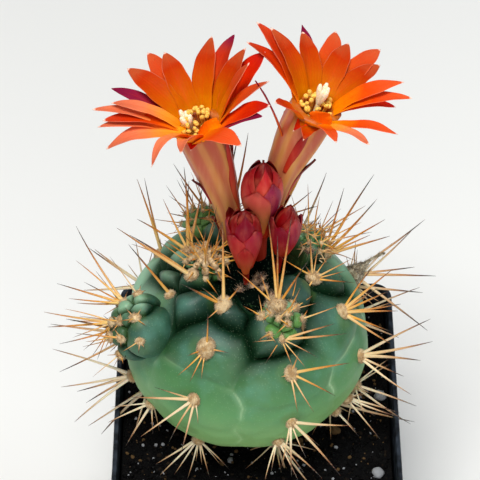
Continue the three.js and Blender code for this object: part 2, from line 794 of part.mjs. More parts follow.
function witheredFlower() {
  const path = new THREE.QuadraticBezierCurve3(...[WITHERED.base, WITHERED.bend, WITHERED.tip].map(vector));
  const draw = draws(WITHERED.seed);
  const last = WITHERED.radii.length - 1;
  const rings = WITHERED.radii.map((radius, k) => {
    const frame = frameAbout(path.getTangent(k / last));
    return circle(path.getPoint(k / last), frame, radius, 7, () => 0.78 + 0.4 * draw());
  });
  const pieces = [solid(loft(rings))];
  for (let k = 0; k < WITHERED.hairs; k += 1) {
    const share = 0.15 + 0.35 * draw();
    const frame = frameAbout(path.getTangent(share));
    const round = FULL_TURN * (k / WITHERED.hairs + 0.1 * draw());
    const out = frame.z.clone().multiplyScalar(0.9);
    out.addScaledVector(frame.x, Math.cos(round)).addScaledVector(frame.y, Math.sin(round));
    const middle = path.getPoint(share);
    pieces.push(needle(middle, out, 4.2 + 1.2 * draw(), 0.55, 0));
  }
  return union(pieces);
}

// Assembly

const head = new Head(STEM);
const body = stemBody(head, 0);
const shell = stemBody(head, GAP);
const blooms = {};
for (const [side, form] of Object.entries(FLOWERS)) {
  blooms["flower_" + side] = flower(form).subtract(shell);
}
const budSolids = {};
for (const [name, form] of Object.entries(BUDS)) budSolids[name] = bud(form).subtract(shell);
const withered = witheredFlower().subtract(shell);

const holder = { pot: pot(), soil: soil() };
const standing = [...Object.values(blooms), ...Object.values(budSolids), withered, ...Object.values(holder)];
const pups = {};
for (const [name, form] of Object.entries(PUPS)) {
  const near = [shell, ...standing, ...Object.values(pups)];
  const { body: ball, pieces } = pup(form, near);
  pups[name] = union([ball.subtract(shell), ...pieces]);
}

const skin = stem(head, body, [...standing, ...Object.values(pups)]);

const plant = new THREE.Group();
plant.add(meshOf("pot", holder.pot, COLOURS.pot, 0.45));
plant.add(meshOf("soil", holder.soil, COLOURS.soil, 0.95));
plant.add(meshOf("stem", skin, COLOURS.skin, 0.6));
for (const [name, made] of Object.entries(pups)) plant.add(meshOf(name, made, COLOURS.skin, 0.6));
for (const [name, made] of Object.entries(blooms)) plant.add(meshOf(name, made, COLOURS.petal, 0.5));
for (const [name, made] of Object.entries(budSolids)) plant.add(meshOf(name, made, COLOURS.bud, 0.5));
for (const [side, form] of Object.entries(FLOWERS)) {
  const style = PISTILS[side];
  plant.add(meshOf("stamens_" + side, stamens(form, style), COLOURS.pollen, 0.7));
  plant.add(meshOf("pistil_" + side, pistil(form, style), COLOURS.stigma, 0.5));
}
plant.add(meshOf("withered_flower", withered, COLOURS.withered, 0.9));

export default plant;
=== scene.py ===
"""A flowering ball cactus in a square nursery pot, as it looks.

Sizes are in millimetres and angles in degrees. A mesh is scaled to metres as it is made, in the frame of the
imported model: +Z up, with the origin in the middle of the underside of the pot. The sizes of the pieces are
those of the model, and each piece keeps to the place of the node that it replaces.
"""

import logging
import math
from collections.abc import Callable, Sequence
from dataclasses import dataclass, field, replace
from enum import Enum
from typing import Any

import bpy
import numpy as np
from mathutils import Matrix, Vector, noise


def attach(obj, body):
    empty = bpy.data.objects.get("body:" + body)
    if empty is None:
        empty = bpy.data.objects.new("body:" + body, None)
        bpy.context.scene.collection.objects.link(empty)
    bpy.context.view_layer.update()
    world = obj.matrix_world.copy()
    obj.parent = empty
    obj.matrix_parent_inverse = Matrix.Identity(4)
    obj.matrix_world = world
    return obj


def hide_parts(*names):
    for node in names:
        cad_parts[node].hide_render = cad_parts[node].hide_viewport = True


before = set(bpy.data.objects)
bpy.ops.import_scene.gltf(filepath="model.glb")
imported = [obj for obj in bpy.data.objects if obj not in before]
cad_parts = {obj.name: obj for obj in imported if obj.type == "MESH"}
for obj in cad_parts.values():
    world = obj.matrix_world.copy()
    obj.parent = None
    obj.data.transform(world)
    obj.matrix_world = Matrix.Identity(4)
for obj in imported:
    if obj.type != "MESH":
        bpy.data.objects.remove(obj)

LOG = logging.getLogger("cactus")
METRES = 0.001
GAP = 0.3  # air between two pieces that touch
GOLDEN_ANGLE = 137.5
FULL_TURN = 2 * math.pi
FAR_OFF = 99.0  # stands for no groove near by
STEM_MIDDLE = (-2.65, 0.0)  # the plant's place in the pot, from above

Colour = tuple[float, float, float, float]
Point = tuple[float, float, float]
Spot = tuple[float, float]
Span = tuple[float, float]
Stops = tuple[tuple[float, str], ...]
Array = np.ndarray
Values = float | Array
Draw = Callable[[], float]
Thing = bpy.types.Object
Material = bpy.types.Material
Socket = bpy.types.NodeSocket
Input = Socket | float | int | str | tuple | None


# Numbers and directions


def draws(seed: int) -> Draw:
    """Gives a function whose random numbers from 0 to 1 come out the same each time."""
    state = [(seed * 2654435761) % 2**32]

    def draw() -> float:
        """The next number."""
        state[0] = (state[0] * 1664525 + 1013904223) % 2**32
        return state[0] / 2**32

    return draw


def between(draw: Draw, low: float, high: float) -> float:
    """A random number from low to high."""
    return low + (high - low) * draw()


def mix(low: Values, high: Values, share: Values) -> Values:
    """The value at a share of the way from low to high."""
    return low + (high - low) * share


def smooth(value: Values, low: float, high: float) -> Array:
    """A soft step that rises from 0 at low to 1 at high."""
    share = np.clip((np.asarray(value, float) - low) / (high - low), 0, 1)
    return share * share * (3 - 2 * share)


def unit(vector: Array) -> Array:
    """The direction of a vector, or of each row."""
    vector = np.asarray(vector, float)
    return vector / np.linalg.norm(vector, axis=-1, keepdims=True)


def turns(count: int) -> Array:
    """So many angles at even steps round a circle, in radians."""
    return FULL_TURN * np.arange(count) / count


def axes_about(axis: Sequence[float]) -> Array:
    """Two directions square to an axis, and the axis.

    Args:
        axis: The third of the directions, of any length.

    Returns:
        Three rows, a right-handed frame whose first row is as near to +X as it can be.
    """
    z = unit(np.array(axis, float))
    x = unit(np.array([1.0, 0, 0]) - z * z[..., :1])
    return np.array([x, np.cross(z, x), z])


def ease(shares: Array, values: Sequence[float]) -> Array:
    """Values at even steps, joined by a smooth curve through each of them.

    Args:
        shares: Where to read the curve, from 0 to 1.
        values: The values that it goes through.

    Returns:
        The value at each share.
    """
    known = np.array([2 * values[0] - values[1], *values, 2 * values[-1] - values[-2]])
    place = np.clip(shares, 0, 1) * (len(values) - 1)
    k = np.minimum(place.astype(int), len(values) - 2)
    t = place - k
    a, b, c, d = (known[k + j] for j in range(4))
    return b + 0.5 * t * (c - a + t * (2 * a - 5 * b + 4 * c - d + t * (3 * (b - c) + d - a)))


def rough(points: Array, size: float, seed: float = 0.0) -> Array:
    """Soft noise at points.

    Args:
        points: Places in millimetres, one a row.
        size: How large its lumps are.
        seed: Moves the pattern, so that two pieces differ.

    Returns:
        A number from about -1 to 1 for each point.
    """
    flat = np.asarray(points, float).reshape(-1, 3) / size + seed
    return np.array([noise.noise(Vector(p)) for p in flat]).reshape(np.shape(points)[:-1])


@dataclass(frozen=True)
class Path:
    """A quadratic Bezier curve from start to end, pulled by the middle."""

    start: Array
    middle: Array
    end: Array

    def at(self, share: Array) -> Array:
        """The points at these shares of the curve."""
        t = np.asarray(share, float)[..., None]
        return (1 - t) ** 2 * self.start + 2 * t * (1 - t) * self.middle + t**2 * self.end

    def along(self, share: Array) -> Array:
        """The directions of the curve at these shares."""
        t = np.asarray(share, float)[..., None]
        return unit((1 - t) * (self.middle - self.start) + t * (self.end - self.middle))


# Meshes


def quads(rows: int, columns: int) -> Array:
    """The faces between rings of points, as rows of four indices."""
    index = np.arange(rows * columns).reshape(rows, columns)
    right = np.roll(index, -1, axis=1)
    return np.stack([index[:-1], right[:-1], right[1:], index[1:]], axis=-1).reshape(-1, 4)


def loft(rings: Array, last: Array | None = None) -> tuple[Array, list[tuple[int, ...]]]:
    """A closed skin over rings that run counterclockwise as seen from the last one.

    Args:
        rings: Points as rows, columns and three numbers.
        last: The point that closes the last ring, or None for its middle.

    Returns:
        The points, and the faces as tuples of their indices.
    """
    rows, columns, _ = rings.shape
    hubs = [rings[0].mean(0), rings[-1].mean(0) if last is None else last]
    faces = [tuple(quad) for quad in quads(rows, columns).tolist()]
    start, end, top = rows * columns, rows * columns + 1, (rows - 1) * columns
    near = [(k, (k + 1) % columns) for k in range(columns)]
    faces += [(start, b, a) for a, b in near]
    faces += [(end, top + a, top + b) for a, b in near]
    return np.vstack([rings.reshape(-1, 3), hubs]), faces


def rod(path: Path, radii: Sequence[float], rows: int, sides: int) -> Array:
    """The rings of a round rod along a path, with radii at even steps of it."""
    share = np.linspace(0, 1, rows)
    turn = turns(sides)[None, :, None]
    x, y, _ = axes_about(path.along(share))
    spokes = x[:, None] * np.cos(turn) + y[:, None] * np.sin(turn)
    return path.at(share)[:, None] + spokes * ease(share, radii)[:, None, None]


def spread(grid: Values, rings: Array) -> Array:
    """Values of a loft's points, with those of its two closing points added.

    Args:
        grid: One value, one for each row, or rows and columns of values that fit the rings.
        rings: The rings of the loft.

    Returns:
        One value for each of the loft's points.
    """
    values = np.asarray(grid, float)
    if values.ndim == 1:
        values = values[:, None]
    full = np.broadcast_to(values, rings.shape[:2])
    return np.append(full.ravel(), [full[0].mean(), full[-1].mean()])


class Pile:
    """Parts of one piece, gathered before they become one mesh."""

    def __init__(self) -> None:
        """Starts with nothing in it."""
        self.points: list[Array] = []
        self.faces: list[tuple[int, ...]] = []
        self.edges: list[tuple[int, int]] = []
        self.values: dict[str, list[Array]] = {}
        self.count = 0

    def add(self, points: Array, faces: Sequence = (), edges: Sequence = (), **values: Values) -> None:
        """Adds one part.

        Args:
            points: Its points in millimetres.
            faces: Its faces, by the part's own indices.
            edges: Its loose edges, by the part's own indices.
            **values: Attributes, as one number or one for each point.
        """
        here, size = self.count, len(points)
        self.points.append(np.asarray(points, float))
        self.faces += [tuple(k + here for k in face) for face in faces]
        self.edges += [(a + here, b + here) for a, b in edges]
        for name, value in values.items():
            rows = self.values.setdefault(name, [np.zeros(here)] if here else [])
            rows.append(np.broadcast_to(np.asarray(value, float), (size,)))
        for name in self.values.keys() - values.keys():
            self.values[name].append(np.zeros(size))
        self.count += size

    def add_loft(self, rings: Array, last: Array | None = None, **values: Values) -> None:
        """Adds a closed skin over rings, with attributes as `spread` takes them."""
        points, faces = loft(rings, last)
        self.add(points, faces, **{name: spread(value, rings) for name, value in values.items()})

    def add_line(self, path: Path, stations: Array, width: Values, **values: Values) -> None:
        """Adds a polyline along a path, whose attribute width is the radius of what grows along it."""
        edges = [(k, k + 1) for k in range(len(stations) - 1)]
        self.add(path.at(stations), edges=edges, width=width * METRES, **values)

    def piece(self, name: str, material: Material | None = None) -> Thing:
        """Makes the mesh object.

        Args:
            name: The piece's name.
            material: Its finish, or None where a node tree gives it one.

        Returns:
            The new object, at the origin.
        """
        mesh = bpy.data.meshes.new(name)
        mesh.from_pydata((np.vstack(self.points) * METRES).tolist(), self.edges, self.faces)
        for label, rows in self.values.items():
            attribute = mesh.attributes.new(label, "FLOAT", "POINT")
            attribute.data.foreach_set("value", np.concatenate(rows).astype(np.float32))
        mesh.polygons.foreach_set("use_smooth", [True] * len(mesh.polygons))
        if material is not None:
            mesh.materials.append(material)
        made = bpy.data.objects.new(name, mesh)
        bpy.context.scene.collection.objects.link(made)
        return made


def evaluated_mesh(piece: Thing) -> Thing:
    """Turns what a piece's modifiers make of it into its plain mesh, and removes them.

    Args:
        piece: The object with its modifiers.

    Returns:
        The same object.
    """
    graph = bpy.context.evaluated_depsgraph_get()
    shown = piece.evaluated_get(graph)
    mesh = bpy.data.meshes.new_from_object(shown, preserve_all_data_layers=True, depsgraph=graph)
    piece.modifiers.clear()
    piece.data = mesh
    mesh.name = piece.name
    return piece


def hand_over(piece: Thing, node: str) -> None:
    """Ties a finished piece to the frame.

    Args:
        piece: The finished object.
        node: The node of the model that it stands for.
    """
    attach(piece, "root")
    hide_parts(node)
    piece.data.calc_loop_triangles()
    LOG.info("%s: %d triangles", piece.name, len(piece.data.loop_triangles))


# Materials


def tone(code: str) -> Colour:
    """A colour written as on a screen, such as "#5c9776", as the numbers that light uses."""
    parts = [int(code[k : k + 2], 16) / 255 for k in (1, 3, 5)]
    linear = [p / 12.92 if p <= 0.04045 else ((p + 0.055) / 1.055) ** 2.4 for p in parts]
    return (*linear, 1.0)


def add_node(tree: bpy.types.NodeTree, kind: str, inputs: dict, settings: dict) -> bpy.types.Node:
    """Adds a node to a tree.

    Args:
        tree: The tree.
        kind: The node's full type.
        inputs: What goes into it, by the name or number of the input.
        settings: Its own properties.

    Returns:
        The new node.
    """
    made = tree.nodes.new(kind)
    for label, value in settings.items():
        setattr(made, label, value)
    for label, value in inputs.items():
        feed(tree, made.inputs[label], value)
    return made


def feed(tree: bpy.types.NodeTree, socket: Socket, value: Input) -> None:
    """Links a socket into another one, or sets its number, or its colour from a code."""
    if isinstance(value, Socket):
        tree.links.new(value, socket)
    else:
        socket.default_value = tone(value) if socket.type == "RGBA" and isinstance(value, str) else value


class Shader:
    """The node tree of one material, written as short calls, with the colour painted so far."""

    def __init__(self, name: str, **surface: float) -> None:
        """Makes the material.

        Args:
            name: Its name.
            **surface: Numbers for the surface's own sockets, with _ for a space.
        """
        self.material = bpy.data.materials.new(name)
        self.material.use_nodes = True
        self.tree = self.material.node_tree
        self.surface = self.tree.nodes["Principled BSDF"].inputs
        self.place = self.tree.nodes.new("ShaderNodeTexCoord").outputs["Object"]
        self.colour: Input = None
        for label, value in surface.items():
            self.surface[label.replace("_", " ")].default_value = value

    def node(self, kind: str, inputs: dict, **settings: Input) -> bpy.types.Node:
        """Adds a node, whose kind is its type without the prefix."""
        return add_node(self.tree, "ShaderNode" + kind, inputs, settings)

    def told(self, name: str) -> Socket:
        """The number that an attribute gives each point."""
        return self.node("Attribute", {}, attribute_name=name).outputs["Fac"]

    def maths(self, operation: str, *values: Input) -> Socket:
        """A sum of one or two numbers or sockets."""
        return self.node("Math", dict(enumerate(values)), operation=operation).outputs["Value"]

    def plus(self, first: Input, second: Input) -> Socket:
        """The two added."""
        return self.maths("ADD", first, second)

    def times(self, first: Input, second: Input) -> Socket:
        """The two multiplied."""
        return self.maths("MULTIPLY", first, second)

    def drift(self, value: Input, size: float) -> Socket:
        """A number from 0 to 1 made one from -size / 2 to size / 2."""
        return self.times(self.maths("SUBTRACT", value, 0.5), size)

    def span(self, value: Input, low: float, high: float, start: float = 0.0, end: float = 1.0) -> Socket:
        """A soft step from start, where the value is low, to end, where it is high."""
        inputs = {"Value": value, "From Min": low, "From Max": high, "To Min": start, "To Max": end}
        return self.node("MapRange", inputs, interpolation_type="SMOOTHSTEP").outputs["Result"]

    def fall(self, value: Input, low: float, high: float, start: float = 1.0) -> Socket:
        """A soft step from start down to 0."""
        return self.span(value, low, high, start, 0.0)

    def blend(self, share: Input, low: Input, high: Input) -> Socket:
        """A colour at a share of the way from low to high."""
        return self.node("Mix", {0: share, 6: low, 7: high}, data_type="RGBA").outputs[2]

    def paint(self, share: Input, over: Input) -> None:
        """Blends a share of a colour over the one so far."""
        self.colour = self.blend(share, self.colour, over)

    def lumps(
        self, scale: float, detail: float = 2.0, stretch: Point = (1, 1, 1), distortion: float = 0.0
    ) -> Socket:
        """Soft noise with so many lumps to a metre, from 0 to 1."""
        place = self.node("Mapping", {"Vector": self.place, "Scale": stretch}).outputs["Vector"]
        inputs = {"Vector": place, "Scale": scale, "Detail": detail, "Distortion": distortion}
        return self.node("TexNoise", inputs).outputs["Fac"]

    def cells(self, scale: float) -> Socket:
        """The distance to the nearest of scattered points, so many to a metre."""
        return self.node("TexVoronoi", {"Vector": self.place, "Scale": scale}).outputs["Distance"]

    def ramp(self, share: Input, *stops: tuple[float, str]) -> Socket:
        """A colour that runs through the stops, each a place from 0 to 1 and a colour."""
        made = self.node("ValToRGB", {"Fac": share})
        band = made.color_ramp.elements
        while len(band) < len(stops):
            band.new(0.5)
        for element, (place, colour) in zip(band, stops):
            element.position = place
            element.color = tone(colour)
        return made.outputs["Color"]

    def bump(self, height: Input, distance: float, strength: float) -> None:
        """Raises the surface by a height in millimetres."""
        inputs = {"Height": height, "Distance": distance * METRES, "Strength": strength}
        feed(self.tree, self.surface["Normal"], self.node("Bump", inputs).outputs["Normal"])

    def finish(self, roughness: Input) -> Material:
        """Gives the surface its colour and its roughness."""
        feed(self.tree, self.surface["Base Color"], self.colour)
        feed(self.tree, self.surface["Roughness"], roughness)
        return self.material


@dataclass(frozen=True)
class SkinFinish:
    """Waxy green skin. It reads height, groove, vein, areole, crease, far and young."""

    # colours from the soil up to the crown: partly the plant's own tone, partly painted shade darker towards
    # the crown and painted warm light low down
    greens: Stops = (
        (0, "#9cb070"), (0.25, "#86b06c"), (0.57, "#508650"), (0.76, "#38663c"), (0.93, "#20443a"),
    )
    line: str = "#bfdcb0"  # the pale lines between the ribs: paler skin with a painted highlight on their soft ridges
    shadow: str = "#030705"  # colour in the deep creases and in the crown's hollow
    painted_crease_shade: str = "#0c2412"  # painted shade beside the creases
    bloom_and_sky_light: str = "#5c9585"  # the waxy bloom, partly a painted bluish highlight of the light from above
    fresh: str = "#4f8a2c"  # young growth
    painted_shoulder_light: str = "#98c4a4"  # painted light on the pale shoulder at the back
    seat: str = "#4f6f3c"  # colour round the felt pads
    cork: str = "#b09a4c"  # the corky foot
    painted_spine_shadow: str = "#2c4a2a"  # painted shadows of spines, as fine dark streaks
    pore: str = "#b9d6ae"

    def make(self) -> Material:
        """Builds the material."""
        s = Shader("cactus_skin", Subsurface_Weight=0.08, Subsurface_Scale=0.002)
        height, vein, crease = s.told("height"), s.told("vein"), s.told("crease")
        # greens by height: partly painted shade towards the crown
        s.colour = s.ramp(s.plus(height, s.drift(s.lumps(95, 3), 0.2)), *self.greens)
        s.paint(s.told("young"), self.fresh)
        # waxy bloom on the upper half, partly a painted bluish highlight of the light from above
        wax_and_sky_light_share = s.span(s.lumps(130, 4), 0.42, 0.75, 0.0, 0.42)
        s.paint(s.times(wax_and_sky_light_share, s.span(height, 0.35, 0.8)), self.bloom_and_sky_light)
        # painted rim light on the back shoulder, where far is high
        s.paint(s.times(s.told("far"), 0.85), self.painted_shoulder_light)
        # pale rib lines, partly a painted highlight on their ridges
        line = s.plus(s.fall(vein, 0.0, 0.9, 0.34), s.fall(vein, 0.2, 3.0, 0.16))
        broken = s.times(s.fall(height, 0.66, 0.78), s.span(s.lumps(95, 1), 0.42, 0.6))
        s.paint(s.times(s.times(line, s.span(crease, 0.06, 0.2)), broken), self.line)
        # painted shade beside and in the creases of the upper body
        s.paint(s.times(s.fall(crease, 0.0, 0.3, 0.8), s.span(height, 0.52, 0.7)), self.painted_crease_shade)
        s.paint(s.fall(crease, 0.0, 0.13, 0.85), self.painted_crease_shade)
        hollow = s.span(height, 0.955, 0.985, 0.0, 0.95)
        deep = s.maths("MAXIMUM", s.span(s.told("groove"), 0.3, 1.9, 0.0, 0.97), hollow)
        s.paint(deep, self.shadow)
        open_sky = s.times(s.span(crease, 0.0, 0.2, 0.0, 0.4), s.fall(deep, 0.0, 0.7))
        feed(s.tree, s.surface["Specular IOR Level"], open_sky)
        s.paint(s.fall(s.told("areole"), 1.8, 3.4, 0.35), self.seat)
        cork = s.times(s.fall(height, 0.06, 0.22), s.span(s.lumps(330, 4), 0.4, 0.62))
        s.paint(s.times(cork, 0.85), self.cork)
        # fine dark streaks: painted shadows of spines
        spine_shadow_streak = s.maths("ABSOLUTE", s.maths("SUBTRACT", s.lumps(70, 1, (1, 1, 7), 2.5), 0.5))
        s.paint(s.times(s.fall(spine_shadow_streak, 0.0, 0.005, 0.5), s.span(s.lumps(60, 1), 0.56, 0.64)), self.painted_spine_shadow)
        pores = s.cells(1500)
        s.paint(s.fall(pores, 0.1, 0.26, 0.1), self.pore)
        s.bump(s.plus(s.times(s.lumps(420, 3), 0.6), s.times(pores, 0.2)), 0.14, 0.5)
        return s.finish(s.span(s.lumps(260, 3), 0.3, 0.7, 0.44, 0.6))


@dataclass(frozen=True)
class FeltFinish:
    """Cream felt and wool. It reads fibre and shade."""

    name: str
    light: str  # colour at the tips of the hairs
    deep: str  # colour down between them; the crown wool's near-black here is partly painted shade
    worn: str = "#8a6238"  # the oldest hairs

    def make(self) -> Material:
        """Builds the material."""
        s = Shader(self.name, Sheen_Weight=0.35, Sheen_Roughness=0.5, Specular_IOR_Level=0.15)
        patch = s.span(s.lumps(700, 3), 0.36, 0.64)
        s.colour = s.blend(patch, self.deep, self.light)
        s.paint(s.times(s.told("fibre"), 0.7), self.light)
        s.paint(s.span(s.told("shade"), 0.7, 1.0, 0.0, 0.45), self.worn)
        s.bump(s.lumps(2600, 3), 0.14, 0.9)
        return s.finish(s.span(patch, 0.0, 1.0, 0.86, 0.96))


@dataclass(frozen=True)
class SpineFinish:
    """Horny spines, pale at the foot and dark at the tip. It reads along, amber and shade."""

    # colours of a young spine from the foot to the tip
    golden: Stops = ((0, "#e4c076"), (0.28, "#dca038"), (0.6, "#bc7212"), (0.8, "#7c460e"), (0.93, "#1c120c"))
    # those of an old one
    grey: Stops = ((0, "#e2d6ba"), (0.4, "#dacdae"), (0.68, "#b8936a"), (0.86, "#5e3a26"), (0.97, "#241814"))
    streak: str = "#f0dfb4"  # its pale streaks

    def make(self) -> Material:
        """Builds the material."""
        s = Shader("spines", Subsurface_Weight=0.12, Subsurface_Scale=0.0006, Specular_IOR_Level=0.5)
        along = s.told("along")
        place = s.plus(along, s.drift(s.told("shade"), 0.3))
        s.colour = s.ramp(place, *self.grey)
        s.paint(s.told("amber"), s.ramp(place, *self.golden))
        s.paint(s.span(s.lumps(1500, 2), 0.45, 0.75, 0.0, 0.18), self.streak)
        s.bump(s.lumps(3000, 2), 0.03, 0.5)
        return s.finish(s.span(along, 0.0, 1.0, 0.5, 0.36))


@dataclass(frozen=True)
class PetalFinish:
    """Silky petals. It reads along, across, under, bright, pale, red, purple and tip."""

    # colours from the throat to the tip of a plain petal
    fire: Stops = ((0, "#d88400"), (0.2, "#c26000"), (0.45, "#b84602"), (0.72, "#b02e04"), (0.92, "#b04a26"))
    # those of a bright one, partly painted light on petals that face the lamps
    flame: Stops = ((0, "#f88e02"), (0.25, "#f07604"), (0.5, "#e4480a"), (0.95, "#e0582e"))
    # those of a pale one, partly painted light on petals that face up
    rosy: Stops = ((0.05, "#ffa010"), (0.35, "#fc9840"), (0.6, "#ec845a"), (0.9, "#c46c4e"))
    # those of a red one
    crimson: Stops = ((0, "#ff8a10"), (0.3, "#f04008"), (0.6, "#cf2202"), (0.9, "#bc1206"))
    plum: Stops = ((0, "#9c181c"), (0.45, "#8c1a38"), (1, "#661244"))  # those of a purple one
    back: Stops = ((0, "#f28618"), (0.5, "#ec5e0c"), (1, "#c02c28"))  # those of the underside
    vein: str = "#c62a04"
    rib: str = "#d03a04"
    rim: str = "#ff9f80"  # the thin edge, partly a painted highlight of its gloss
    dark_tip: str = "#7a1034"  # colour at the end of a petal with a dark tip
    pale_tip: str = "#ffdccc"  # colour at the end of the others

    def make(self) -> Material:
        """Builds the material."""
        s = Shader("petals", Subsurface_Weight=0.1, Subsurface_Scale=0.001, Specular_IOR_Level=0.12, IOR=1.2)
        along, across, tip = s.told("along"), s.maths("ABSOLUTE", s.told("across")), s.told("tip")
        place = s.plus(along, s.drift(s.lumps(240, 2), 0.3))
        s.colour = s.ramp(place, *self.fire)
        kinds = {"bright": self.flame, "pale": self.rosy, "red": self.crimson, "purple": self.plum}
        for name, stops in kinds.items():
            s.paint(s.told(name), s.ramp(place, *stops))
        s.paint(s.times(s.told("under"), 0.6), s.ramp(place, *self.back))
        veins = s.maths("SINE", s.times(s.told("across"), 26.0))
        broken = s.span(s.lumps(260, 2, (1, 1, 0.3)), 0.4, 0.7, 0.0, 0.16)
        s.paint(s.times(s.span(veins, 0.1, 1.0), broken), self.vein)
        s.paint(s.fall(across, 0.0, 0.16, 0.14), self.rib)
        # pale thin edge, partly a painted highlight of its gloss
        edge = s.times(s.span(across, 0.92, 0.99), s.span(along, 0.3, 0.85, 0.02, 0.5))
        s.paint(s.times(edge, s.maths("SUBTRACT", 1.0, s.told("purple"))), self.rim)
        s.paint(s.times(s.span(along, 0.72, 0.98), tip), self.dark_tip)
        s.paint(s.times(s.span(along, 0.955, 0.98), s.fall(tip, 0.1, 0.4, 0.8)), self.pale_tip)
        s.bump(s.plus(s.times(veins, 0.4), s.lumps(1500, 2)), 0.05, 0.4)
        return s.finish(s.span(s.lumps(900, 2), 0.3, 0.7, 0.42, 0.56))


@dataclass(frozen=True)
class TubeFinish:
    """Fleshy flower tube, streaked along its length. It reads along, dark and stripe."""

    # colours from the base to the rim
    flesh: Stops = ((0, "#8a3418"), (0.15, "#c07044"), (0.45, "#dca062"), (0.72, "#cc7c4a"), (1, "#aa4424"))
    ridge: str = "#dcaa50"
    groove: str = "#b8403c"  # colour between them
    blush: str = "#bc5444"  # the flushed patches
    throat: str = "#b85c04"
    streak: str = "#e8ac84"  # the pale streaks

    def make(self) -> Material:
        """Builds the material."""
        s = Shader("flower_tube", Subsurface_Weight=0.15, Subsurface_Scale=0.0015, Specular_IOR_Level=0.35)
        along, stripe = s.told("along"), s.told("stripe")
        s.colour = s.ramp(along, *self.flesh)
        s.paint(s.span(stripe, 0.45, 0.95, 0.0, 0.4), self.ridge)
        s.paint(s.span(stripe, 0.5, 0.05, 0.0, 0.35), self.groove)
        s.paint(s.span(s.lumps(110, 2, (1, 1, 0.4)), 0.42, 0.7, 0.0, 0.55), self.blush)
        s.paint(s.maths("MAXIMUM", s.told("dark"), s.span(along, 0.955, 0.985)), self.throat)
        grain = s.lumps(700, 3, (1, 1, 0.16))
        s.paint(s.span(grain, 0.4, 0.7, 0.0, 0.18), self.streak)
        s.bump(grain, 0.1, 0.5)
        return s.finish(s.span(grain, 0.3, 0.7, 0.4, 0.55))


@dataclass(frozen=True)
class ScaleFinish:
    """Crimson scales of buds and tubes. It reads along, across, light, plum and dark."""

    # colours from the foot to the tip of a dark scale
    red: Stops = ((0, "#a82208"), (0.35, "#98080a"), (0.8, "#780206"))
    rose: Stops = ((0, "#cc3c1a"), (0.5, "#c43a30"), (0.9, "#a01420"))  # those of a paler one
    flesh: Stops = ((0, "#d87830"), (0.4, "#d8864c"), (0.8, "#cc6450"))  # those of the palest one
    plum: str = "#821640"  # a purple one
    freckle: str = "#4c0a28"  # its freckles
    margin: str = "#8a0c14"  # the side edges
    tip: str = "#5a0610"
    black: str = "#2a060a"  # a dry tip
    streak: str = "#e07858"  # the pale streaks

    def make(self) -> Material:
        """Builds the material."""
        s = Shader("bud_scales", Subsurface_Weight=0.12, Subsurface_Scale=0.001, Specular_IOR_Level=0.16)
        along, light, plum = s.told("along"), s.told("light"), s.told("plum")
        s.colour = s.ramp(along, *self.red)
        s.paint(s.span(light, 0.0, 0.5), s.ramp(along, *self.rose))
        s.paint(s.span(light, 0.5, 1.0), s.ramp(along, *self.flesh))
        s.paint(s.times(plum, 0.85), self.plum)
        s.paint(s.span(s.maths("ABSOLUTE", s.told("across")), 0.72, 1.0, 0.0, 0.85), self.margin)
        s.paint(s.span(along, 0.88, 1.0, 0.0, 0.8), self.tip)
        s.paint(s.told("dark"), self.black)
        grain = s.lumps(600, 3, (1, 1, 0.2))
        s.paint(s.span(grain, 0.42, 0.7, 0.0, 0.16), self.streak)
        s.paint(s.times(s.fall(s.cells(1500), 0.1, 0.3, 0.7), plum), self.freckle)
        s.bump(grain, 0.14, 0.7)
        return s.finish(s.span(grain, 0.3, 0.7, 0.36, 0.5))


@dataclass(frozen=True)
class HeartFinish:
    """Stamens or a pistil. It reads head, which is 1 on anthers and lobes, and shade."""

    name: str
    stalk: str  # the filaments or the style
    head: str  # the anthers or the lobes
    shadow: str  # colour between their grains

    def make(self) -> Material:
        """Builds the material."""
        s = Shader(self.name, Subsurface_Weight=0.2, Subsurface_Scale=0.0006, Specular_IOR_Level=0.2)
        grain = s.lumps(5000, 3)
        powder = s.blend(s.span(grain, 0.35, 0.6), self.shadow, self.head)
        s.colour = s.blend(s.told("head"), self.stalk, powder)
        s.paint(s.span(s.told("shade"), 0.6, 1.0, 0.0, 0.3), self.shadow)
        s.bump(grain, 0.08, 0.8)
        return s.finish(s.span(grain, 0.2, 0.8, 0.6, 0.85))


@dataclass(frozen=True)
class PlasticFinish:
    """Moulded black plastic with worn edges, partly a painted highlight along the rim. It reads rim."""

    black: str = "#050608"
    dust: str = "#161616"  # the dust on it
    worn: str = "#4a5462"  # its worn edges, partly a painted highlight along the rim

    def make(self) -> Material:
        """Builds the material."""
        s = Shader("black_plastic", Specular_IOR_Level=0.14)
        s.colour = s.blend(s.span(s.lumps(160, 5), 0.5, 0.75, 0.0, 0.35), self.black, self.dust)
        # worn rim, partly a painted highlight along it
        s.paint(s.times(s.told("rim"), s.span(s.lumps(420, 4), 0.36, 0.7, 0.06, 0.4)), self.worn)
        s.bump(s.plus(s.times(s.lumps(2600, 2), 0.5), s.lumps(900, 2, (1, 1, 0.08))), 0.06, 0.5)
        return s.finish(s.span(s.lumps(300, 4), 0.35, 0.7, 0.3, 0.52))


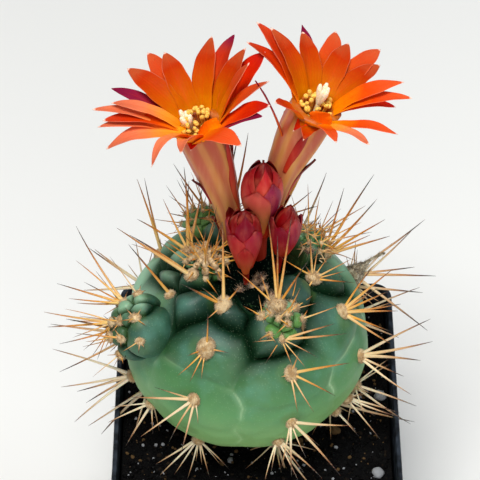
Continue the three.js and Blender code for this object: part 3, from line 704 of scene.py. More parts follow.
@dataclass(frozen=True)
class SoilFinish:
    """Near-black potting mix. It reads kind, which picks a crumb's colour."""

    painted_hollow_shade: str = "#010102"  # painted shade in the hollows
    damp: str = "#070606"  # colour on the grains
    bark: str = "#1c150f"  # the brown crumbs
    straw: str = "#57432a"  # the pale brown ones
    pumice: str = "#8e9094"  # the white ones

    def make(self) -> Material:
        """Builds the material."""
        s = Shader("potting_mix", Specular_IOR_Level=0.1)
        kind = s.told("kind")
        grain = s.lumps(1800, 4)
        # darker in the hollows of the grain bump: painted shade
        s.colour = s.blend(s.span(grain, 0.35, 0.7), self.painted_hollow_shade, self.damp)
        s.paint(s.span(kind, 0.8, 0.82), self.bark)
        s.paint(s.span(kind, 0.90, 0.91), self.straw)
        s.paint(s.span(kind, 0.955, 0.96), self.pumice)
        s.bump(grain, 0.3, 0.9)
        return s.finish(s.span(s.cells(900), 0.1, 0.5, 0.25, 0.85))


@dataclass(frozen=True)
class DryFinish:
    """Papery remains of a flower. It reads fibre."""

    # colours from the folds to the ridges: painted shade in the folds and painted light on the ridges, over
    # the paper's own tone
    paper: Stops = ((0.3, "#3c3020"), (0.5, "#8c8068"), (0.68, "#c4bca4"))
    hair: str = "#d9d2bd"  # the hairs

    def make(self) -> Material:
        """Builds the material."""
        s = Shader("dry_flower", Specular_IOR_Level=0.2, Sheen_Weight=0.2)
        fold = s.lumps(900, 4, distortion=1.0)
        # dark folds and pale ridges follow the bump: painted shade and light
        s.colour = s.ramp(fold, *self.paper)
        s.paint(s.told("fibre"), self.hair)
        s.bump(fold, 0.4, 0.9)
        return s.finish(s.span(fold, 0.3, 0.7, 0.8, 0.95))


# Geometry node trees


class Grower:
    """A geometry node tree, written as short calls, that turns a mesh into a finished piece."""

    def __init__(self, name: str, sizes: dict[str, float | int]) -> None:
        """Starts the tree.

        Args:
            name: Its name.
            sizes: Its named inputs and their usual values. Whole numbers are counts and seeds.
        """
        self.tree = bpy.data.node_groups.new(name, "GeometryNodeTree")
        panel = self.tree.interface
        panel.new_socket("Geometry", in_out="INPUT", socket_type="NodeSocketGeometry")
        panel.new_socket("Geometry", in_out="OUTPUT", socket_type="NodeSocketGeometry")
        self.sockets: dict[str, str] = {}
        for label, value in {**sizes, "Finish": None}.items():
            kind = {int: "Int", float: "Float", type(None): "Material"}[type(value)]
            made = panel.new_socket(label, in_out="INPUT", socket_type="NodeSocket" + kind)
            if value is not None:
                made.default_value = value
            self.sockets[label] = made.identifier
        self.entry = self.tree.nodes.new("NodeGroupInput").outputs

    def node(self, kind: str, inputs: dict | None = None, **settings: Input) -> Socket:
        """Adds a node of a full type, and gives its first output."""
        return add_node(self.tree, kind, inputs or {}, settings).outputs[0]

    def sum(self, operation: str, *values: Input) -> Socket:
        """A sum of two numbers or sockets."""
        return self.node("ShaderNodeMath", dict(enumerate(values)), operation=operation)

    def told(self, name: str) -> Socket:
        """The number that an attribute gives each point."""
        return self.node("GeometryNodeInputNamedAttribute", {"Name": name}, data_type="FLOAT")

    def keep(self, geometry: Socket, name: str, value: Input, domain: str = "INSTANCE") -> Socket:
        """Writes a number to an attribute of the geometry."""
        inputs = {"Geometry": geometry, "Name": name, "Value": value}
        return self.node("GeometryNodeStoreNamedAttribute", inputs, data_type="FLOAT", domain=domain)

    def chance(self, seed: Input) -> Socket:
        """A random number from 0 to 1 for each point."""
        inputs = {2: 0.0, 3: 1.0, "Seed": seed}
        return add_node(self.tree, "FunctionNodeRandomValue", inputs, {"data_type": "FLOAT"}).outputs[1]

    def either(self, low: Input, high: Input, seed: Input) -> Socket:
        """A random vector for each point, between two others."""
        return self.node("FunctionNodeRandomValue", {0: low, 1: high, "Seed": seed}, data_type="FLOAT_VECTOR")

    def turned(self, low: Input, high: Input, seed: Input, base: Input = None) -> Socket:
        """A random turn for each point, between two rows of angles, after a base turn if there is one."""
        turn = self.node("FunctionNodeEulerToRotation", {0: self.either(low, high, seed)})
        if base is None:
            return turn
        return self.node("FunctionNodeRotateRotation", {0: base, 1: turn}, rotation_space="LOCAL")

    def scaled(self, low: Input, high: Input, seed: Input, size: Input) -> Socket:
        """A size for each point: a random form between two others, times a number."""
        inputs = {0: self.either(low, high, seed), "Scale": size}
        return self.node("ShaderNodeVectorMath", inputs, operation="SCALE")

    def scatter(self) -> Sequence[Socket]:
        """Points strewn over the faces, as outputs Points and Rotation."""
        inputs = {"Mesh": self.entry["Geometry"], **{name: self.entry[name] for name in ("Density", "Seed")}}
        return add_node(self.tree, "GeometryNodeDistributePointsOnFaces", inputs, {}).outputs

    def copies(self, points: Socket, shape: Socket, turn: Socket, size: Socket, **more: Input) -> Socket:
        """A copy of a shape on each point."""
        inputs = {"Points": points, "Instance": shape, "Rotation": turn, "Scale": size, **more}
        return self.node("GeometryNodeInstanceOnPoints", inputs)

    def hair(self, length: Input, radius: Input) -> Socket:
        """A three-sided hair along +Z from the origin, with fibre from 0 to 1 along it."""
        inputs = {"Vertices": 3, "Radius Top": 0.0, "Radius Bottom": radius, "Depth": length}
        cone = self.node("GeometryNodeMeshCone", inputs, fill_type="NGON")
        place = {0: self.node("GeometryNodeInputPosition")}
        rise = add_node(self.tree, "ShaderNodeSeparateXYZ", place, {}).outputs["Z"]
        return self.keep(cone, "fibre", self.sum("DIVIDE", rise, length), "POINT")

    def lines(self) -> Socket:
        """The edges as curves."""
        return self.node("GeometryNodeMeshToCurve", {"Mesh": self.entry["Geometry"]})

    def rods(self, lines: Socket) -> Socket:
        """Round rods along curves. Their attribute width is the radius in metres."""
        circle = {"Resolution": self.entry["Sides"], "Radius": 1.0}
        ring = self.node("GeometryNodeCurvePrimitiveCircle", circle)
        inputs = {"Curve": lines, "Profile Curve": ring, "Scale": self.told("width"), "Fill Caps": True}
        return self.node("GeometryNodeCurveToMesh", inputs)

    def join(self, *parts: Socket) -> Socket:
        """Several geometries as one."""
        made = self.tree.nodes.new("GeometryNodeJoinGeometry")
        for part in parts:
            self.tree.links.new(part, made.inputs[0])
        return made.outputs[0]

    def close(self, geometry: Socket) -> "Grower":
        """Ends the tree: smooth shading, realized instances and the finish."""
        soft = self.node("GeometryNodeSetShadeSmooth", {"Geometry": geometry})
        real = self.node("GeometryNodeRealizeInstances", {"Geometry": soft})
        dressed = self.node("GeometryNodeSetMaterial", {"Geometry": real, "Material": self.entry["Finish"]})
        self.tree.links.new(dressed, self.tree.nodes.new("NodeGroupOutput").inputs[0])
        return self

    def grow(self, seedling: Thing, finish: Material, **sizes: float) -> Thing:
        """Runs the tree on an object and keeps the result as its plain mesh.

        Args:
            seedling: The object whose mesh the tree starts from.
            finish: The material of the result.
            **sizes: Values for the named inputs.

        Returns:
            The same object.
        """
        modifier = seedling.modifiers.new(self.tree.name, "NODES")
        modifier.node_group = self.tree
        modifier[self.sockets["Finish"]] = finish
        for label, value in sizes.items():
            modifier[self.sockets[label]] = value
        return evaluated_mesh(seedling)


def spine_grower() -> Grower:
    """Spines that follow polylines."""
    g = Grower("spines_along_lines", {"Sides": 6})
    return g.close(g.rods(g.lines()))


def felt_grower() -> Grower:
    """Pads with hairs that stand out of them in all directions."""
    g = Grower("felt_on_pads", {"Density": 1.5e7, "Hair": 0.0008, "Radius": 0.00005, "Lean": 0.9, "Seed": 1})
    spots, lean = g.scatter(), g.entry["Lean"]
    back = g.sum("MULTIPLY", lean, -1.0)
    low = g.node("ShaderNodeCombineXYZ", {0: back, 1: back, 2: 0.0})
    high = g.node("ShaderNodeCombineXYZ", {0: lean, 1: lean, 2: FULL_TURN})
    turn = g.turned(low, high, 5, spots["Rotation"])
    size = g.either((0.8, 0.8, 0.45), (1.3, 1.3, 1.25), 6)
    hairs = g.copies(spots["Points"], g.hair(g.entry["Hair"], g.entry["Radius"]), turn, size)
    return g.close(g.join(g.entry["Geometry"], g.keep(hairs, "shade", g.chance(7))))


def grit_grower() -> Grower:
    """Crumbs and stones scattered over a surface, which isn't kept."""
    sizes = {"Density": 4.0e5, "Smallest": 0.0003, "Largest": 0.0011, "Detail": 1, "Seed": 1}
    g = Grower("grit_on_soil", sizes)
    ball = g.node("GeometryNodeMeshIcoSphere", {"Radius": 1.0, "Subdivisions": g.entry["Detail"]})
    lumps = add_node(g.tree, "ShaderNodeTexNoise", {"Scale": 1.7, "Detail": 1.0}, {}).outputs["Color"]
    shift = g.node("ShaderNodeVectorMath", {0: lumps, 1: (0.5, 0.5, 0.5)}, operation="SUBTRACT")
    shift = g.node("ShaderNodeVectorMath", {0: shift, 1: (1.1, 1.1, 1.1)}, operation="MULTIPLY")
    stone = g.node("GeometryNodeSetPosition", {"Geometry": ball, "Offset": shift})
    rare = g.sum("POWER", g.chance(4), 3.0)
    inputs = {"Value": rare, "To Min": g.entry["Smallest"], "To Max": g.entry["Largest"]}
    size = g.scaled((0.75, 0.6, 0.5), (1.3, 1.0, 0.9), 8, g.node("ShaderNodeMapRange", inputs))
    stones = g.copies(g.scatter()["Points"], stone, g.turned((0, 0, 0), (6.3, 6.3, 6.3), 3), size)
    return g.close(g.keep(stones, "kind", g.chance(9)))


def stamen_grower() -> Grower:
    """Filaments along polylines, each with an anther on its end."""
    g = Grower("stamens_along_lines", {"Sides": 5, "Anther": 0.00066, "Seed": 1})
    lines = g.lines()
    ends = g.node("GeometryNodeCurveEndpointSelection", {"Start Size": 0, "End Size": 1})
    grain = g.node("GeometryNodeMeshUVSphere", {"Segments": 8, "Rings": 6, "Radius": 1.0})
    heading = {"Vector": g.node("GeometryNodeInputTangent")}
    upright = g.node("FunctionNodeAlignRotationToVector", heading, axis="Z")
    turn = g.turned((-1.1, -1.1, 0), (1.1, 1.1, 6.3), g.entry["Seed"], upright)
    size = g.scaled((0.8, 0.65, 0.8), (1.15, 0.9, 1.3), 6, g.entry["Anther"])
    anthers = g.copies(lines, grain, turn, size, Selection=ends)
    return g.close(g.join(g.rods(lines), g.keep(anthers, "head", 1.0)))


# The camera


@dataclass(frozen=True)
class Eye:
    """The camera, and where its picture's points lie in space."""

    place: Point = (-4.123, -375.93, 506.87)
    down: float = 46.0  # how far it looks below the horizon
    lens: float = 173.8
    sensor: float = 36.0
    picture: int = 480  # the picture's width and height in pixels

    @property
    def axes(self) -> Array:
        """The directions to its right, to its top and forward."""
        sine, cosine = math.sin(math.radians(self.down)), math.cos(math.radians(self.down))
        return np.array([[1.0, 0, 0], [0, sine, cosine], [0, cosine, -sine]])

    @property
    def focal(self) -> float:
        """The focal length in pixels."""
        return self.picture * self.lens / self.sensor

    def pixel(self, point: Array) -> Array:
        """Where the picture shows a point."""
        right, up, forward = self.axes @ (np.asarray(point) - self.place)
        half = self.picture / 2
        return np.array([half + self.focal * right / forward, half - self.focal * up / forward])

    def ray(self, pixel: Sequence[float]) -> Array:
        """The direction in which the camera sees a pixel."""
        half = self.picture / 2
        right, up = (pixel[0] - half) / self.focal, (half - pixel[1]) / self.focal
        return unit(np.array([right, up, 1.0]) @ self.axes)

    def reach(self, foot: Array, pixel: Sequence[float], stretch: float, outward: Array) -> Array:
        """The end of a straight line that the picture shows from its foot to a pixel.

        Args:
            foot: Where the line starts.
            pixel: Where its end is seen.
            stretch: Its real length over the shortest that it can have.
            outward: Of the two places that fit, the one that lies further this way is taken.

        Returns:
            The end of the line.
        """
        sight = self.ray(pixel)
        start = foot - self.place
        along = start @ sight
        nearest = np.linalg.norm(start - along * sight)
        depth = nearest * math.sqrt(max(stretch**2 - 1, 0.0))
        ends = [self.place + sight * (along + sign * depth) for sign in (-1, 1)]
        return max(ends, key=lambda end: (end - foot) @ outward)


EYE = Eye()


# Balls of tubercles


@dataclass(frozen=True)
class Bump:
    """A tubercle."""

    place: float | Spot  # latitude of its areole, or the pixel at which the picture shows its middle
    reach: float  # how far its edge pushes its neighbours away, in millimetres
    size: float  # how far from its edge it has risen to its full height
    dome: float  # how high it rises over its edge
    groove: float  # how deep the crease at its edge is
    steep: float = 0.6  # how it rises, from 0.5 like a ball to 2 like a soft wave


@dataclass(frozen=True)
class HeadForm:
    """The form of a ball of tubercles in ribs."""

    centre: Point
    axis: Point  # the way its crown points
    across: float  # its radius at the waist
    upright: float  # half of its height
    ribs: int
    rows: tuple[Bump, ...]  # the tubercles of a rib, from the crown down
    stagger: tuple[float, ...]  # what each rib adds to their latitudes
    # tubercles where the picture shows them, which take the place of those of the ribs
    marks: tuple[Bump, ...] = ()
    first_rib: float = 0.0  # longitude of the first rib
    rib_swing: float = 0.0  # how far the ribs crowd to one side
    cell_drop: float = 5.0  # how far a tubercle's middle lies below its areole, in degrees
    crown_dip: float = 4.0  # depth of the hollow in the crown
    crown_width: float = 16.0  # width of the hollow, in degrees
    groove_width: float = 0.7
    deep: float = 0.7  # creases from this depth on run between the tubercles of a rib too, and are no veins
    wander: float = 0.9  # how far the creases stray from straight lines, in millimetres
    grain: float = 0.12  # height of the unevenness of the skin


@dataclass(frozen=True)
class Seat:
    """A place on a ball's skin."""

    foot: Array
    out: Array  # the direction straight out of the skin
    crown: Array
    side: Array  # the direction along the circle of latitude
    latitude: float

    def aim(self, lean: float, turn: float) -> Array:
        """The direction that leans so far from straight out, turned so far from the crown."""
        tilt, spin = math.radians(lean), math.radians(turn)
        flat = self.crown * math.cos(spin) + self.side * math.sin(spin)
        return self.out * math.cos(tilt) + flat * math.sin(tilt)


class Head:
    """A ball of tubercles in ribs, on which each direction has a longitude and a latitude."""

    def __init__(self, form: HeadForm) -> None:
        """Lays out the tubercles."""
        self.form = form
        self.middle = np.array(form.centre, float)
        self.frame = np.array(axes_about(form.axis))
        ribs = np.repeat(np.arange(form.ribs), len(form.rows))
        bumps = list(form.rows) * form.ribs
        latitude = np.array([b.place for b in bumps]) + np.array(form.stagger)[ribs]
        latitude, longitude = np.minimum(latitude, 86), self.rib_longitude(ribs)
        self.areoles = self.units(longitude, latitude)
        middles = self.units(longitude, latitude - form.cell_drop)
        marked = [(self.hit(mark.place, mark.dome), mark) for mark in form.marks]
        for middle, bump in marked:
            apart = np.linalg.norm(middles - middle, axis=1) * form.across
            kept = apart > 0.7 * bump.size
            middles, ribs = middles[kept], ribs[kept]
            bumps = [b for b, keep in zip(bumps, kept) if keep]
        self.middles = np.vstack([middles, *(middle for middle, _ in marked)])
        self.rib = np.concatenate([ribs, -1 - np.arange(len(marked))])
        bumps += [bump for _, bump in marked]
        self.reach, self.size, self.dome, self.groove, self.steep = (
            np.array([getattr(bump, name) for bump in bumps])
            for name in ("reach", "size", "dome", "groove", "steep")
        )

    def land(self, pixel: Sequence[float]) -> Array:
        """The direction on the ball at which the camera sees a pixel of the skin with its relief."""
        lift = 0.0
        for _ in range(4):
            place = self.hit(pixel, lift)
            lift = float(self.measure(place[None])["relief"][0])
        return place

    def hit(self, pixel: Sequence[float], lift: float) -> Array:
        """The direction on the ball of radius 1 at which the camera sees a pixel of the lifted ball."""
        scale = np.array([self.form.across, self.form.across, self.form.upright]) + lift
        start = self.frame @ (np.array(EYE.place) - self.middle) / scale
        sight = self.frame @ EYE.ray(pixel) / scale
        a, b, c = sight @ sight, start @ sight, start @ start - 1
        return unit(start - sight * (b + math.sqrt(max(b * b - a * c, 0.0))) / a)

    def rib_longitude(self, rib: Array) -> Array:
        """The longitude of a rib."""
        even = self.form.first_rib + 90 + 360 * rib / self.form.ribs
        return even + self.form.rib_swing * np.sin(np.radians(even)) - 90

    def units(self, longitude: Array, latitude: Array) -> Array:
        """Directions on a ball of radius 1, in its own frame."""
        east, north = np.radians(longitude), np.radians(latitude)
        flat = np.cos(north)
        return np.stack([flat * np.cos(east), flat * np.sin(east), np.sin(north) + 0 * east], axis=-1)

    def measure(self, units: Array) -> dict[str, Array]:
        """The height of the skin over the plain ball, and how far it is from grooves and areoles.

        Args:
            units: Directions on the ball, one a row.

        Returns:
            relief, groove, vein and areole in millimetres, and crease as a share of the radius. A vein is 0
            in the line between two ribs, and a crease is 0 in a deep groove.
        """
        form = self.form
        latitude = np.degrees(np.arcsin(np.clip(units[:, 2], -1, 1)))
        places = units * form.across
        stray = np.stack([rough(places, 6.5, 10.0 * k + form.centre[0]) for k in (1, 2, 3)], axis=1)
        bent = places + form.wander * stray
        far = np.linalg.norm(bent[:, None] - self.middles[None] * form.across, axis=2) - self.reach
        order = np.argsort(far, axis=1)[:, :7]
        near = np.take_along_axis(far, order, axis=1)
        own, others = order[:, :1], order[:, 1:]
        gap = near[:, 1:] - near[:, :1]
        same = self.rib[others] == self.rib[own]
        depth = np.maximum(self.groove[own], self.groove[others])
        deep = depth > form.deep
        groove = (np.where(same & ~deep, 0.1 * depth, depth) * np.exp(-gap / form.groove_width)).max(axis=1)
        vein = np.where(same | deep, FAR_OFF, gap).min(axis=1)
        border = np.where(same & ~deep, FAR_OFF, gap)
        edge = np.clip(-np.log(np.exp(-border).sum(axis=1)), 0, None)
        crease = np.where(deep, gap, FAR_OFF).min(axis=1) / form.across
        share = np.exp(-(near - near[:, :1]) / 0.8)
        share /= share.sum(axis=1, keepdims=True)
        size, dome, steep = ((share * each[order]).sum(axis=1) for each in (self.size, self.dome, self.steep))
        swell = dome * (1 - (1 - np.clip(edge / size, 0, 1)) ** 2) ** steep
        dip = form.crown_dip * np.exp(-(((90 - latitude) / form.crown_width) ** 2))
        areole = np.linalg.norm(units[:, None] - self.areoles[None], axis=2).min(axis=1) * form.across
        relief = swell - groove - dip
        groove = groove + 2 * np.clip(-swell, 0, None)
        return {"relief": relief, "groove": groove, "vein": vein, "areole": areole, "crease": crease}

    def outward(self, units: Array) -> Array:
        """The directions straight out of the plain ball."""
        across, upright = self.form.across, self.form.upright
        return unit(units / np.array([across, across, upright])) @ self.frame

    def points(self, units: Array, lift: Values) -> Array:
        """Points over the plain ball."""
        across, upright = self.form.across, self.form.upright
        ball = (units * np.array([across, across, upright])) @ self.frame + self.middle
        return ball + self.outward(units) * np.asarray(lift)[..., None]

    def seat(self, place: Array) -> Seat:
        """The place on the skin in a direction."""
        units = place[None]
        out = self.outward(units)[0]
        foot = self.points(units, self.measure(units)["relief"])[0]
        up = self.frame[2]
        crown = unit(up - out * (up @ out))
        latitude = math.degrees(math.asin(float(np.clip(place[2], -1, 1))))
        return Seat(foot, out, crown, np.cross(crown, out), latitude)

    def skin(self, pile: Pile, rows: int, columns: int, young: float, shade: Span) -> None:
        """Adds the skin, from the underside to the crown.

        Args:
            pile: Where it goes.
            rows: How many circles of latitude it has.
            columns: How many points a circle has.
            young: How fresh its green is, from 0 to 1.
            shade: What height its finish is given at the underside and at the crown.
        """
        share = np.linspace(0, 1, rows + 2)[1:-1]
        latitude = -90 + 180 * share**0.82
        longitude = 360 * np.arange(columns) / columns
        units = self.units(*np.meshgrid(longitude, latitude)).reshape(-1, 3)
        poles = np.array([[0, 0, -1.0], [0, 0, 1.0]])
        every = np.vstack([units, poles])
        told = self.measure(every)
        lift = told["relief"] + self.form.grain * rough(every * self.form.across, 3.1, self.form.centre[0])
        lift += 2.2 * self.form.grain * rough(every * self.form.across, 11.0, self.form.centre[1])
        points = self.points(every, lift)
        _, faces = loft(points[:-2].reshape(rows, columns, 3))
        height = mix(*shade, (every[:, 2] + 1) / 2)
        told["height"], told["young"] = height, young
        # far: where the skin's finish paints light on the back shoulder of the upper half
        waist = smooth(np.hypot(every[:, 0], every[:, 1]), 0.35, 0.6) * smooth(every[:, 2], 0.0, 0.3)
        told["far"] = waist * smooth(every[:, 1] - 0.3 * every[:, 0], -0.2, 0.3)
        del told["relief"]
        pile.add(points, faces, **told)


@dataclass(frozen=True)
class Areole:
    """A felt pad whose spines the picture shows."""

    name: str
    seat: Spot  # the pixel of its middle
    # the pixels where its spines end. A third number is a spine's stretch in depth
    tips: tuple[tuple[float, ...], ...]
    felt: float = 1.0  # how large its pad is, over the usual size


@dataclass(frozen=True)
class SpineRule:
    """The spines of an areole that the picture doesn't show."""

    radials: tuple[int, int] = (8, 6)  # how many stand round the edge, above and below the waist
    centrals: tuple[int, int] = (3, 2)  # how many stand in the middle, above and below the waist
    radial_lean: Span = (56, 78)  # lean of the outer ones from straight out
    central_lean: Span = (8, 36)  # lean of the middle ones
    radial_length: Span = (8, 13)  # length of the outer ones
    central_length: Span = (15, 23)  # length of the middle ones
    thin: float = 0.21  # radius of the shortest spines at the foot
    thick: float = 0.42  # radius of the longest ones
    amber: Span = (0.12, 0.95)  # how golden they are, from 0 to 1, below the waist and at the crown


SPINE_STATIONS = np.array([0, 0.03, 0.1, 0.24, 0.42, 0.6, 0.76, 0.9, 1.0])
PAD_SIDES = 14


def add_spine(pile: Pile, foot: Array, tip: Array, radius: float, amber: float, draw: Draw) -> None:
    """Adds a spine as a polyline that bends a little.

    Args:
        pile: Where it goes.
        foot: Where it leaves its pad.
        tip: Its point.
        radius: Its radius at the foot.
        amber: How golden it is, from 0 to 1.
        draw: The random numbers.
    """
    length = np.linalg.norm(tip - foot)
    along, side, _ = axes_about(tip - foot)
    spin = FULL_TURN * draw()
    sway = (along * math.cos(spin) + side * math.sin(spin)) * length * between(draw, 0.01, 0.05)
    start = foot - unit(tip - foot) * 0.5
    path = Path(start, (start + tip) / 2 + sway, tip)
    t = SPINE_STATIONS
    width = radius * ((1 - t) ** 0.75 * (1 + 0.12 * np.exp(-t / 0.05)) + 0.08)
    pile.add_line(path, t, width, along=t, amber=amber, shade=draw())


def add_pad(pile: Pile, seat: Seat, radius: float, rise: float) -> None:
    """Adds a felt cushion.

    Args:
        pile: Where it goes.
        seat: Its place.
        radius: Its radius.
        rise: Its height.
    """
    turn = turns(PAD_SIDES)
    spokes = np.cos(turn)[:, None] * seat.side * 0.88 + np.sin(turn)[:, None] * seat.crown * 1.08
    shape = [(0.8, -0.7), (1.0, -0.1), (0.97, 0.3), (0.8, 0.68), (0.5, 0.92), (0.2, 1.0)]
    rings = np.array([seat.foot - spokes * r * radius + seat.out * h * rise for r, h in shape])
    pile.add_loft(rings, shade=0.5)


@dataclass
class Ball:
    """A ball of tubercles with its skin, its felt pads and its spines."""

    name: str  # the node of the model that it stands for, and the start of its pieces' names
    form: HeadForm
    rule: SpineRule  # the spines that follow no picture
    seen: tuple[Areole, ...] = ()  # the areoles whose spines the picture shows
    grid: tuple[int, int] = (60, 110)  # rows and columns of its skin
    pad: Span = (0.95, 0.7)  # radius and height of a felt pad
    hair: float = 0.7  # length of the felt's hairs
    density: float = 14.0  # hairs on a square millimetre
    young: float = 0.0  # how fresh its green is, from 0 to 1
    shade: Span = (0.0, 1.0)  # what height its finish is given at the underside and at the crown; a greater height paints a darker green, partly painted shade
    seed: int = 1  # picks its spines
    skin: Pile = field(default_factory=Pile)
    felt: Pile = field(default_factory=Pile)
    spines: Pile = field(default_factory=Pile)

    def build(self) -> None:
        """Makes the skin, the pads and the spines."""
        head = Head(self.form)
        draw = draws(self.seed)
        seats = [head.seat(place) for place in head.areoles]
        head.skin(self.skin, *self.grid, self.young, self.shade)
        shown = self.match(seats)
        for k, seat in enumerate(seats):
            areole = shown.get(k)
            seat = head.seat(head.land(areole.seat)) if areole else seat
            size = (areole.felt if areole else 1.0) * between(draw, 0.9, 1.1)
            add_pad(self.felt, seat, self.pad[0] * size, self.pad[1] * size)
            if areole:
                self.follow(seat, areole, draw)
            else:
                self.wheel(seat, draw)

    def match(self, seats: list[Seat]) -> dict[int, Areole]:
        """Gives each areole of the picture the tubercle that is seen nearest to it."""
        facing = [k for k, seat in enumerate(seats) if seat.out @ (np.array(EYE.place) - seat.foot) > -60]
        spots = {k: EYE.pixel(seats[k].foot) for k in facing}
        found: dict[int, Areole] = {}
        for areole in self.seen:
            free = [k for k in facing if k not in found]
            best = min(free, key=lambda k: np.linalg.norm(spots[k] - areole.seat))
            found[best] = areole
            LOG.debug("%s is %.1f pixels off", areole.name, np.linalg.norm(spots[best] - areole.seat))
        return found

    def tint(self, seat: Seat, draw: Draw) -> float:
        """How golden the spines of an areole are."""
        golden = mix(*self.rule.amber, smooth(seat.latitude, -8, 50))
        return float(np.clip(golden + between(draw, -0.2, 0.2), 0, 1))

    def plant(self, seat: Seat, tip: Array, draw: Draw) -> None:
        """Adds the spine that ends at a tip, as thick as its length asks for."""
        towards = tip - seat.foot
        length = np.linalg.norm(towards)
        flat = towards - seat.out * (towards @ seat.out)
        foot = seat.foot + seat.out * 0.3 * self.pad[1] + flat / length * 0.62 * self.pad[0]
        radius = mix(self.rule.thin, self.rule.thick, float(smooth(length, 8, 18)))
        radius *= between(draw, 0.88, 1.12)
        add_spine(self.spines, foot, tip, radius, self.tint(seat, draw), draw)

    def follow(self, seat: Seat, areole: Areole, draw: Draw) -> None:
        """Adds the spines that the picture shows on an areole."""
        for tip in areole.tips:
            stretch = tip[2] if len(tip) > 2 else between(draw, 1.04, 1.18)
            self.plant(seat, EYE.reach(seat.foot, tip[:2], stretch, seat.out), draw)

    def wheel(self, seat: Seat, draw: Draw) -> None:
        """Adds a wheel of radial spines, and the long central ones."""
        rule, low = self.rule, 0 if seat.latitude > 0 else 1
        radials, centrals = rule.radials[low], rule.centrals[low]
        for k in range(radials):
            turn = 360 * (k + 0.5 + between(draw, -0.25, 0.25)) / radials
            aim = seat.aim(between(draw, *rule.radial_lean), turn)
            self.plant(seat, seat.foot + aim * between(draw, *rule.radial_length), draw)
        for k in range(centrals):
            turn = 360 * (k + between(draw, -0.2, 0.2)) / centrals
            aim = seat.aim(between(draw, *rule.central_lean), turn)
            self.plant(seat, seat.foot + aim * between(draw, *rule.central_length), draw)

    def dress(self, kit: "Kit") -> None:
        """Finishes the pieces and ties them to the frame."""
        hand_over(self.skin.piece(self.name + "_skin", kit.skin), self.name)
        felt = self.felt.piece(self.name + "_felt")
        hair = self.hair * METRES
        kit.felting.grow(felt, kit.felt, Density=self.density * 1e6, Hair=hair, Seed=self.seed)
        hand_over(felt, self.name)
        spines = kit.spining.grow(self.spines.piece(self.name + "_spines"), kit.spines)
        hand_over(spines, self.name)


@dataclass
class Neck:
    """The corky neck and tap root of the stem."""

    middle: Spot  # its place from above
    # radius and height of its rings, from the top down
    rings: tuple[Spot, ...] = ((7.2, 68), (7, 61), (5.4, 57), (3.8, 49), (2.6, 39), (1.5, 27))
    sides: int = 48  # how many corners a ring has
    pile: Pile = field(default_factory=Pile)

    def build(self) -> None:
        """Makes the root with folds along it."""
        radius, height = (ease(np.linspace(1, 0, 40), each) for each in zip(*self.rings))
        turn = turns(self.sides)
        ring = np.stack([np.cos(turn), np.sin(turn), 0 * turn], axis=1)
        rings = ring[None] * radius[:, None, None] * 0.96
        rings[..., 2] = height[:, None]
        rings[..., :2] += np.array(self.middle)
        rings[..., :2] += ring[None, :, :2] * (0.25 * rough(rings * [1, 1, 0.3], 2.0))[..., None]
        self.pile.add_loft(rings, height=0.0, groove=0.0, vein=9.0, areole=9.0, crease=9.0)

    def dress(self, kit: "Kit") -> None:
        """Gives the root its finish and ties it to the frame."""
        hand_over(self.pile.piece("stem_neck", kit.skin), "stem")


# Flowers


class Tone(Enum):
    """What a petal's colour is like: how bright, pale, red and purple it is, and whether its tip is dark.
    Bright and pale tones are partly painted light.
    """

    FIRE = (0.0, 0.0, 0.0, 0.0, 0.0)
    GLOW = (0.45, 0.05, 0.0, 0.0, 0.0)
    WARM = (0.9, 0.0, 0.0, 0.0, 0.0)
    SALMON = (1.0, 0.75, 0.0, 0.0, 0.0)
    EMBER = (0.3, 0.0, 0.45, 0.0, 0.0)
    CRIMSON = (0.0, 0.0, 0.9, 0.0, 0.1)
    DARK_TIP = (0.0, 0.0, 0.3, 0.1, 1.0)
    PLUM = (0.0, 0.0, 0.4, 0.9, 1.0)


@dataclass(frozen=True)
class Petal:
    """One petal."""

    turn: float  # its direction round the flower's axis, from +X
    open: float  # how far it opens from the axis
    length: float  # from the middle of the throat to its tip
    tone: Tone = Tone.FIRE  # what its colour is like
    curl: float = 0.0  # how far its tip bends up, in millimetres
    broad: float = 1.0  # its width over the usual one
    root: float = 0.0  # how far round the axis its foot stands from its tip
    arch: float = 1.0  # how far it arches, over the usual way
    low: float = 0.0  # how much lower than the others its foot stands
    point: float = 0.0  # its outline, from -1 for a blunt end over 0 for the usual one to 1 for a triangle
    foot: float = 0.0  # how much further from the axis than the others its foot stands


def leaf(rows: int, across: int = 11) -> tuple[Array, Array, Array]:
    """Where the points of a thin closed leaf lie.

    Args:
        rows: Stations along it.
        across: Points over its width.

    Returns:
        The share of its length, the place across from -1 to 1, and the side, from 1 on top to -1 under it.
    """
    top = -np.cos(np.linspace(0, math.pi, across))
    back = top[-2:0:-1]
    place = np.concatenate([top, back])
    side = np.concatenate([np.sqrt(np.clip(1 - top**2, 0, 1)), -np.sqrt(1 - back**2)])
    return np.linspace(0, 0.985, rows)[:, None], place[None], side[None]


@dataclass(frozen=True)
class Scale:
    """A scale of a flower's tube or of a bud."""

    start: float  # the share of the carrier's length at its foot
    end: float  # that at its tip
    turn: float  # its direction round the carrier
    half: float  # half of its width
    light: float = 0.0  # how pale and fleshy it is, from 0 to 1
    plum: float = 0.0  # how purple and freckled it is
    dark: float = 0.0  # how dark its tip is
    flare: float = 0.2  # how far its tip stands off
    shell: float = 0.15  # how far it lies over the carrier's skin


